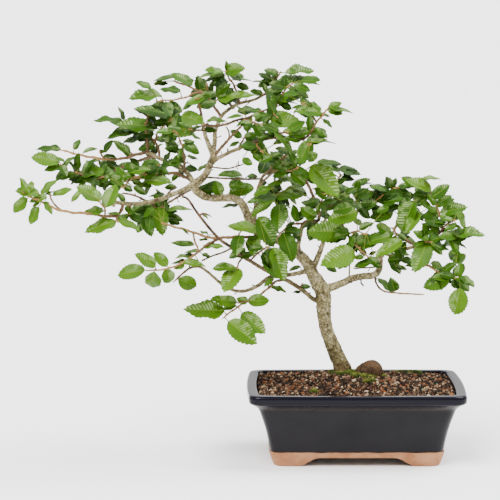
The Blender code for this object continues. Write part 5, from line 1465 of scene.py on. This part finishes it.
def leaf_body(base, axes, draw):
    """Corners of a blade: folded by LEAF_FOLD * |half|, arched by LEAF_ARCH * share^2, waved and twisted a
    little, with its underside BLADE_THICK below and a ridge along the midrib."""
    along, across, out, length, wide = axes
    share, half, swell = blade_grid
    half = half * wide
    fold = LEAF_FOLD * draw.uniform(*FOLD_TIMES)
    arch = LEAF_ARCH * draw.uniform(*ARCH_TIMES)
    row = blade_vein / TEETH
    wave = np.sin(row * draw.uniform(*WAVE_TURN) + draw.uniform(0, 6.28))
    wave = wave * abs(half) * draw.uniform(*WAVE_HEIGHT)
    twist = draw.uniform(-LEAF_TWIST, LEAF_TWIST) * row * half
    bend = draw.uniform(-LEAF_BEND, LEAF_BEND) * share * (1 - share)
    rise = swell + fold * abs(half) - arch * share ** 2 + wave + twist
    ridge = 1.0 + RIB_RIDGE * (1 - share)
    down = blade_low * (BLADE_THICK * MM) * ridge
    spots = np.outer(share * length, along) + np.outer((half + bend) * length, across)
    return base + spots + np.outer(rise * length - down, out)


def stalk_body(start, base, axes):
    """A thin leaf stalk from the shoot to just inside the blade's base."""
    end = base + axes[0] * axes[3] * 0.03
    share = np.linspace(0, 1, 5)[:, None]
    path = start + (end - start) * share + np.sin(np.pi * share) * (0, 0, 0.06) * np.linalg.norm(end - start)
    return capped_rings(tube_rings(path, np.linspace(1.35, 1.0, 5) * STALK_RADIUS * MM, STALK_SIDES))


def shoot_rows(shoot, draw):
    """Rows of x, y, z and radius along a shoot. It swells and bends to the other side at each node."""
    spots = placed(*np.array(shoot.route, float).T)
    radius = np.linspace(shoot.foot_radius, shoot.tip_radius, len(spots)) * MM + STEM_MORE * MM
    rows = smooth_route(np.column_stack([spots, radius]))
    away = walked(rows[:, :3]) / (NODE_PITCH * MM)
    side = unit(np.cross(rows[-1, :3] - rows[0, :3], draw.normal(size=3)))
    zigzag = (abs((away + draw.uniform(0, 2)) % 2 - 1) - 0.5) * ZIGZAG * MM
    rows[:, :3] += np.outer(zigzag * np.clip(away, 0, 1), side)
    node = np.exp(-((away - np.round(away)) / STEM_NODE_WIDTH) ** 2)
    rows[:, 3] *= 1 + STEM_NODE * node
    rows[-1, 3] *= 0.6
    return rows


def leaf_parts(leaf, rows, draw):
    """The stalk, the bud at its foot and the blade of a leaf on a shoot or limb given by its rows, the sign
    of its half that faces up, which the green finish paints with sheen, and how light it is: the more so,
    the longer it is, and darker the further back it lies, as painted shade."""
    start, base, tip, width = leaf_line(leaf, rows, draw)
    axes = leaf_axes(base, tip, width)
    out = unit(axes[0] + (0, 0, 0.4))
    small = bud(start, out, BUD_LENGTH * MM * draw.uniform(0.7, 1.2), BUD_RADIUS * 0.8 * MM)
    upper = 1.0 if axes[1][2] > 0 else -1.0
    long = (axes[3] / MM - USUAL_LENGTH) * LONG_LIGHTER
    # Painted shade: a leaf is darker the further back its base lies.
    light = min(max(long, LONG_LIGHT[0]), LONG_LIGHT[1]) - base[1] / MM * DEPTH_SHADE
    body = leaf_body(base, axes, draw)
    return stalk_body(start, base, axes), small, (body, blade_faces), upper, light


def hidden_leaves(rows, spacing, draw):
    """Leaves at random along a shoot, one for each spacing, that fill it between and behind those listed.
    More of them lie level than stand."""
    seen = seen_from_front(rows[:, :3])[:, :2]
    leaves = []
    for _ in range(int(walked(rows[:, :3])[-1] / (spacing * MM))):
        turn = draw.uniform(0, 2 * np.pi)
        way = unit(np.array([math.cos(turn), HIDDEN_RISE * math.sin(turn)]))
        base = seen[int(draw.integers(len(seen) // 4, len(seen)))] + way * draw.uniform(*HIDDEN_STALK)
        tip = base + way * draw.uniform(*HIDDEN_LENGTH)
        leaves.append((*tip, *base, draw.uniform(*HIDDEN_WIDTH)))
    return leaves


def leafy_piece(name, wood_parts, youth, blade_parts, uppers, tones_and_shade):
    """One mesh of shoots, stalks and buds, and blades, with the numbers that its two finishes read.

    The edges along the margins and the midribs are crisp.
    """
    wood_corners, wood_groups = bodies_of(wood_parts)
    leaf_corners, leaf_groups = bodies_of(blade_parts)
    count, size, leaves = len(wood_corners), blade_grid.shape[1], len(blade_parts)
    groups = wood_groups + [group + count for group in leaf_groups]
    piece = mesh_piece(name, np.concatenate([wood_corners, leaf_corners]), groups)
    wood_faces = sum(len(group) for group in wood_groups)
    piece.data.polygons.foreach_set("material_index", np.arange(len(piece.data.polygons)) >= wood_faces)
    none = np.zeros(count)
    add_number(piece, "youth", np.concatenate(youth + [np.zeros(leaves * size)]))
    add_number(piece, "tone", np.concatenate([none, np.repeat(tones_and_shade, size)]))
    add_number(piece, "under", np.concatenate([none, np.tile(blade_low, leaves)]))
    add_number(piece, "vein", np.concatenate([none, np.tile(blade_vein, leaves)]))
    add_number(piece, "side", np.concatenate([none, np.outer(uppers, blade_side).ravel()]))
    piece.data.set_sharp_from_angle(angle=math.radians(LEAF_CRISP))
    is_rib = np.concatenate([none, np.tile((blade_side == 0) & (blade_low == 0), leaves)]).astype(bool)
    ends = np.empty(len(piece.data.edges) * 2, np.int32)
    piece.data.edges.foreach_get("vertices", ends)
    sharp = np.empty(len(piece.data.edges), bool)
    piece.data.edges.foreach_get("use_edge_sharp", sharp)
    piece.data.edges.foreach_set("use_edge_sharp", sharp | is_rib[ends.reshape(-1, 2)].all(axis=1))
    return piece


def leafy_stem(name, shoots, fresh):
    """One leafy stem: its shoots with their tip buds, and its leaves. Each shoot draws from a seed made of
    where it ends, so that none of them depends on the others."""
    wood_parts, youth, blade_parts, uppers, tones_and_shade = [], [], [], [], []
    for order, shoot in enumerate(shoots):
        draw = np.random.default_rng(int(abs(shoot.route[-1][0]) * 7 + shoot.route[-1][1]) + 5)
        rows = shoot_rows(shoot, draw)
        wood_parts.append(capped_rings(tube_rings(rows[:, :3], rows[:, 3], STEM_SIDES)))
        age = np.clip(walked(rows[:, :3]) / 0.07, 0, 1) * 0.6 + 0.15 + 0.2 * (order > 0)
        youth.append(np.append(np.repeat(age, STEM_SIDES), [age[0], age[-1]]))
        tip_bud = bud(rows[-1, :3], rows[-1, :3] - rows[-3, :3], BUD_LENGTH * MM, BUD_RADIUS * MM)
        wood_parts.append(tip_bud)
        youth.append(np.full(len(tip_bud[0]), BUD_YOUTH))
        hidden = []
        if name not in OPEN_STEMS:
            hidden = hidden_leaves(rows, BACK_SPACING if "back" in name else HIDDEN_SPACING, draw)
        for number, leaf in enumerate([*shoot.leaves, *hidden]):
            stalk, small, body, upper, light = leaf_parts(leaf, rows, draw)
            wood_parts += [stalk, small]
            youth += [np.full(len(stalk[0]), STALK_YOUTH), np.full(len(small[0]), BUD_YOUTH)]
            blade_parts.append(body)
            uppers.append(upper)
            # Painted shade: the random leaves that fill the stem are darker.
            tone = LEAF_TONE + light - HIDDEN_SHADE * (number >= len(shoot.leaves))
            tones_and_shade.append(FRESH_TONE if fresh else tone + draw.uniform(-TONE_SPREAD, TONE_SPREAD))
    return leafy_piece(name + "_leafy", wood_parts, youth, blade_parts, uppers, tones_and_shade)


def young_bark():
    """Orange-tan young bark that is browner and darker on older wood, and green on the leaf stalks."""
    made, shader, place = finish_of("young_bark", IOR=1.45, Specular_IOR_Level=0.12)
    cloud = noise(place, 140.0, 3.0, 0.6)
    fleck = noise(place, 900.0, 2.0)
    youth = (number_of(place, "youth") + (cloud - 0.5) * 0.7) * 0.62
    colour = ramp(youth, ((0.00, (0.050, 0.027, 0.014)), (0.28, (0.135, 0.078, 0.035)),
                          (0.52, (0.290, 0.158, 0.052)), (0.95, (0.42, 0.205, 0.042)),
                          (1.00, (0.085, 0.120, 0.010))))
    colour = blend(step_between(fleck, 0.56, 0.66) * 0.6, colour, (0.030, 0.016, 0.010))
    feed(shader, Base_Color=colour, Roughness=fleck * 0.2 + 0.5, Normal=bump(fleck, 0.0003, 0.6))
    return made


def leaf_finish():
    """Green above, from dark to fresh yellow-green, darker on the leaves that carry painted shade. The half
    that faces the sky has pale bands of painted sheen between its veins, the other is plain and more vivid,
    and painted shade darkens the vein creases above. The underside is matt and greyer."""
    made, shader, place = finish_of("leaf_green", IOR=1.45, Specular_IOR_Level=0.12)
    under, side = number_of(place, "under"), number_of(place, "side")
    cloud = noise(place, 70.0, 3.0)
    tone = number_of(place, "tone") + (cloud - 0.5) * 0.4
    colour = ramp(tone, ((0.10, (0.005, 0.019, 0.000)), (0.40, (0.014, 0.046, 0.000)),
                         (0.68, (0.028, 0.082, 0.000)), (0.98, (0.064, 0.142, 0.003))))
    vein = number_of(place, "vein") * VEINS_PER_TOOTH
    across = vein.maths("PINGPONG", vein, 0.5)
    # Painted sheen: pale bands between the veins on the half that faces the sky, in random patches and
    # streaks.
    sky = step_between(side, 0.0, 0.12)
    patch = noise(place, 32.0, 1.0)
    sheen_streak = step_between(noise(place, 150.0, 2.0), 0.36, 0.60)
    painted_sheen = step_between(across, 0.00, 0.40) * sky * sheen_streak * step_between(patch + tone * 0.15, 0.44, 0.64)
    colour = blend(painted_sheen * 0.75, colour, (0.225, 0.315, 0.110))
    # Painted shade: the vein creases on the upper side are darkened. Below, the same lines are paler veins.
    vein_line_and_crease_shade = 1 - step_between(across, 0.02, 0.14)
    colour = blend(vein_line_and_crease_shade * 0.35, colour, (0.008, 0.032, 0.000))
    rib = 1 - step_between(abs(side), 0.03, 0.08)
    colour = blend(rib * 0.45, colour, (0.14, 0.22, 0.02))
    below = blend(vein_line_and_crease_shade * 0.5, (0.035, 0.075, 0.006), (0.10, 0.15, 0.03))
    fine = noise(place, 1300.0, 2.0)
    feed(shader, Base_Color=blend(under, colour, below), Roughness=under * 0.25 + fine * 0.12 + 0.36,
         Normal=bump(fine * 0.3 + across, 0.0004, 0.6))
    return made


green = leaf_finish()
young = young_bark()


def dress_leafy(piece, name):
    """Gives a leafy piece its two finishes and its place over the solid of that name."""
    piece.data.materials.append(young)
    piece.data.materials.append(green)
    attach(piece, "root")
    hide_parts(name)


for name, shoots in SPRAYS.items():
    dress_leafy(leafy_stem(name, shoots, name in FRESH_STEMS), name)

draw = np.random.default_rng(17)
spur_parts, spur_blades, spur_uppers = [], [], []
old_wood = limb_paths + [trunk_path]
for number, leaves in LIMB_LEAVES.items():
    for leaf in leaves:
        stalk, small, body, upper, _ = leaf_parts(leaf, old_wood[number], draw)
        spur_parts += [stalk, small]
        spur_blades.append(body)
        spur_uppers.append(upper)
spur_youth = [np.full(len(body[0]), STALK_YOUTH) for body in spur_parts]
spur_tones = OLD_LIMB_TONE + draw.uniform(-TONE_SPREAD, TONE_SPREAD, len(spur_blades))
limb_leaves = leafy_piece("limb_leaves", spur_parts, spur_youth, spur_blades, spur_uppers, spur_tones)
dress_leafy(limb_leaves, "trunk_and_branches")

# Moss grows in small cushions round the trunk's foot, against the stone, along the back of the soil and in
# one spot near the front: low lumps set with short pointed shoots, rooted in the grit.
MOSS_SHOOTS = 7000
MOSS_TALL = 3.4
MOSS_THIN = 0.24
MOSS_LIFT = 0.2

# Shares: of MOSS_TALL, of a patch's radius, and how far sideways a shoot leans and strays for its height
MOSS_LENGTHS = (0.5, 1.1)
MOSS_OUTWARD = (0.65, 1.3)
MOSS_LEAN, MOSS_STRAY = 0.5, 0.35

# The height at which the patches are seen, and the cushions' dome and size as shares of a patch's radii
MOSS_SEEN = 86.0
CUSHION_DOME = 0.45
CUSHION_SIZE = (0.9, 0.9, 0.48)

# Seen x, depth, radius along x, radius in depth, in millimetres, and share of the shoots
MOSS_PATCHES = (
    (105.0, 20.0, 7.0, 4.0, 0.10), (115.0, 22.0, 6.0, 7.0, 0.14), (122.0, 27.0, 5.0, 7.0, 0.10),
    (97.0, 30.0, 3.5, 6.0, 0.04), (125.0, 11.0, 4.5, 5.0, 0.08), (134.0, 8.0, 5.0, 4.5, 0.08),
    (145.0, 6.0, 4.0, 3.0, 0.04), (141.0, -12.0, 6.5, 4.0, 0.10), (157.0, 18.0, 4.0, 5.0, 0.04),
    (75.6, -53.0, 4.0, 4.0, 0.05), (182.0, 72.0, 15.0, 6.0, 0.22), (196.0, 68.0, 8.0, 6.0, 0.10),
    (168.0, 76.0, 6.0, 3.0, 0.03),
)


def on_soil(spots):
    """The spots with their height set to that of the nearest corner of the bed, seen from above."""
    ground = corners_of(bed.data)
    ground = ground[ground[:, 2] > (SOIL_EDGE - 3) * MM]
    found = []
    for block in np.array_split(spots, len(spots) // 500 + 1):
        away = ((block[:, None, :2] - ground[None, :, :2]) ** 2).sum(axis=2)
        found.append(ground[away.argmin(axis=1), 2])
    return np.column_stack([spots[:, :2], np.concatenate(found)])


def moss(draw):
    """Three-sided spikes that lean out from their patch's middle, on flattened icosahedra as cushions. Their
    feet stand on a dome as high as CUSHION_DOME * sqrt(1 - out^2) times the patch's radius in depth."""
    patches = np.array(MOSS_PATCHES)
    table = patches[draw.choice(len(patches), MOSS_SHOOTS, p=patches[:, 4] / patches[:, 4].sum())]
    turn = draw.uniform(0, 2 * np.pi, MOSS_SHOOTS)
    out = np.sqrt(draw.uniform(0, 1, MOSS_SHOOTS)) * draw.uniform(*MOSS_OUTWARD, MOSS_SHOOTS)
    lean = np.stack([np.cos(turn), np.sin(turn)], axis=1) * out[:, None]
    spots = placed(table[:, 0], np.full(MOSS_SHOOTS, MOSS_SEEN), table[:, 1])
    spots[:, :2] += lean * table[:, 2:4] * MM
    spots = on_soil(spots)
    dome = np.sqrt(np.clip(1 - out ** 2, 0, 1)) * table[:, 3] * CUSHION_DOME * MM
    spots[:, 2] += dome + MOSS_LIFT * MM
    tall = MOSS_TALL * draw.uniform(*MOSS_LENGTHS, MOSS_SHOOTS) * MM
    sideways = lean * MOSS_LEAN + draw.normal(size=lean.shape) * MOSS_STRAY
    upward = np.column_stack([sideways, np.ones(MOSS_SHOOTS)])
    tips = spots + upward * tall[:, None]
    spin = draw.uniform(0, 2 * np.pi, (MOSS_SHOOTS, 1)) + np.arange(3) * 2 * np.pi / 3
    ring = np.stack([np.cos(spin), np.sin(spin), 0 * spin], axis=-1) * MOSS_THIN * MM
    corners = np.concatenate([spots[:, None] + ring, tips[:, None]], axis=1)
    spike = np.array([(0, 1, 3), (1, 2, 3), (2, 0, 3), (2, 1, 0)])
    offsets = np.arange(MOSS_SHOOTS)[:, None, None] * 4
    shoots = (corners.reshape(-1, 3), [(spike[None] + offsets).reshape(-1, 3)])
    centres = on_soil(placed(patches[:, 0], np.full(len(patches), MOSS_SEEN), patches[:, 1]))
    shape, faces = grain_shape()
    sizes = patches[:, [2, 3, 3]] * CUSHION_SIZE * MM
    cushions = [(shape * size + centre, [faces]) for size, centre in zip(sizes, centres)]
    body, groups = bodies_of([shoots] + cushions)
    piece = mesh_piece("moss", body, groups, False)
    high = np.tile([0.0, 0.0, 0.0, 1.0], MOSS_SHOOTS) * np.repeat(draw.uniform(0.5, 1.0, MOSS_SHOOTS), 4)
    add_number(piece, "high", np.concatenate([high, np.zeros(len(body) - len(high))]))
    return piece


def moss_finish():
    """Dark green at the foot of the shoots and yellow-green at their tips."""
    made, shader, place = finish_of("moss_green", IOR=1.4)
    high = number_of(place, "high")
    cloud = noise(place, 160.0, 2.0)
    low = blend(step_between(cloud, 0.4, 0.6), (0.018, 0.034, 0.004), (0.045, 0.060, 0.009))
    tips = blend(step_between(cloud, 0.42, 0.64), (0.085, 0.115, 0.012), (0.340, 0.400, 0.045))
    feed(shader, Base_Color=blend(high, low, tips), Roughness=cloud * 0.2 + 0.7)
    return made


moss_piece = moss(np.random.default_rng(23))
moss_piece.data.materials.append(moss_finish())
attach(moss_piece, "root")
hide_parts("soil")

# The studio: a plain pale floor under a bright even sky, a broad soft light from above the front left and
# another from above the right. The camera stands where the photograph was taken from, and looks a little
# down.
CAMERA_LENS = 172.8
CAMERA_TILT = 7.08
FLOOR_HALF = 30.0
SKY_STRENGTH = 1.3


def soft_light(name, direction, spread, strength):
    """A light from far away along a direction, as soft as a disc of this many degrees in the sky."""
    lamp = bpy.data.lights.new(name, "SUN")
    lamp.angle = math.radians(spread)
    lamp.energy = strength
    light = bpy.data.objects.new(name, lamp)
    light.rotation_euler = Vector(direction).to_track_quat("Z", "Y").to_euler()
    bpy.context.scene.collection.objects.link(light)


floor_corners = np.array([(-1, -1, 0), (1, -1, 0), (1, 1, 0), (-1, 1, 0)]) * FLOOR_HALF
floor = mesh_piece("studio_floor", floor_corners, [np.array([(0, 1, 2, 3)])], False)
floor_finish, _, _ = finish_of("studio_floor", Roughness=0.9, Base_Color=(0.93, 0.93, 0.93, 1.0))
floor.data.materials.append(floor_finish)

world = bpy.data.worlds.new("studio_sky")
bpy.context.scene.world = world
world.use_nodes = True
sky = world.node_tree.nodes["Background"]
sky.inputs["Color"].default_value = (1.0, 1.0, 1.0, 1.0)
sky.inputs["Strength"].default_value = SKY_STRENGTH
soft_light("key_light", (-0.45, -0.6, 1.0), 35.0, 5.5)
soft_light("top_light", (0.5, 0.1, 1.0), 40.0, 5.0)

camera_data = bpy.data.cameras.new("camera")
camera_data.lens = CAMERA_LENS
camera_data.sensor_width = 36.0
camera_data.clip_start = 0.1
camera_data.clip_end = 100.0
camera = bpy.data.objects.new("camera", camera_data)
camera.location = EYE * MM + shift
camera.rotation_euler = (math.radians(90 - CAMERA_TILT), 0.0, 0.0)
bpy.context.scene.collection.objects.link(camera)
bpy.context.scene.camera = camera
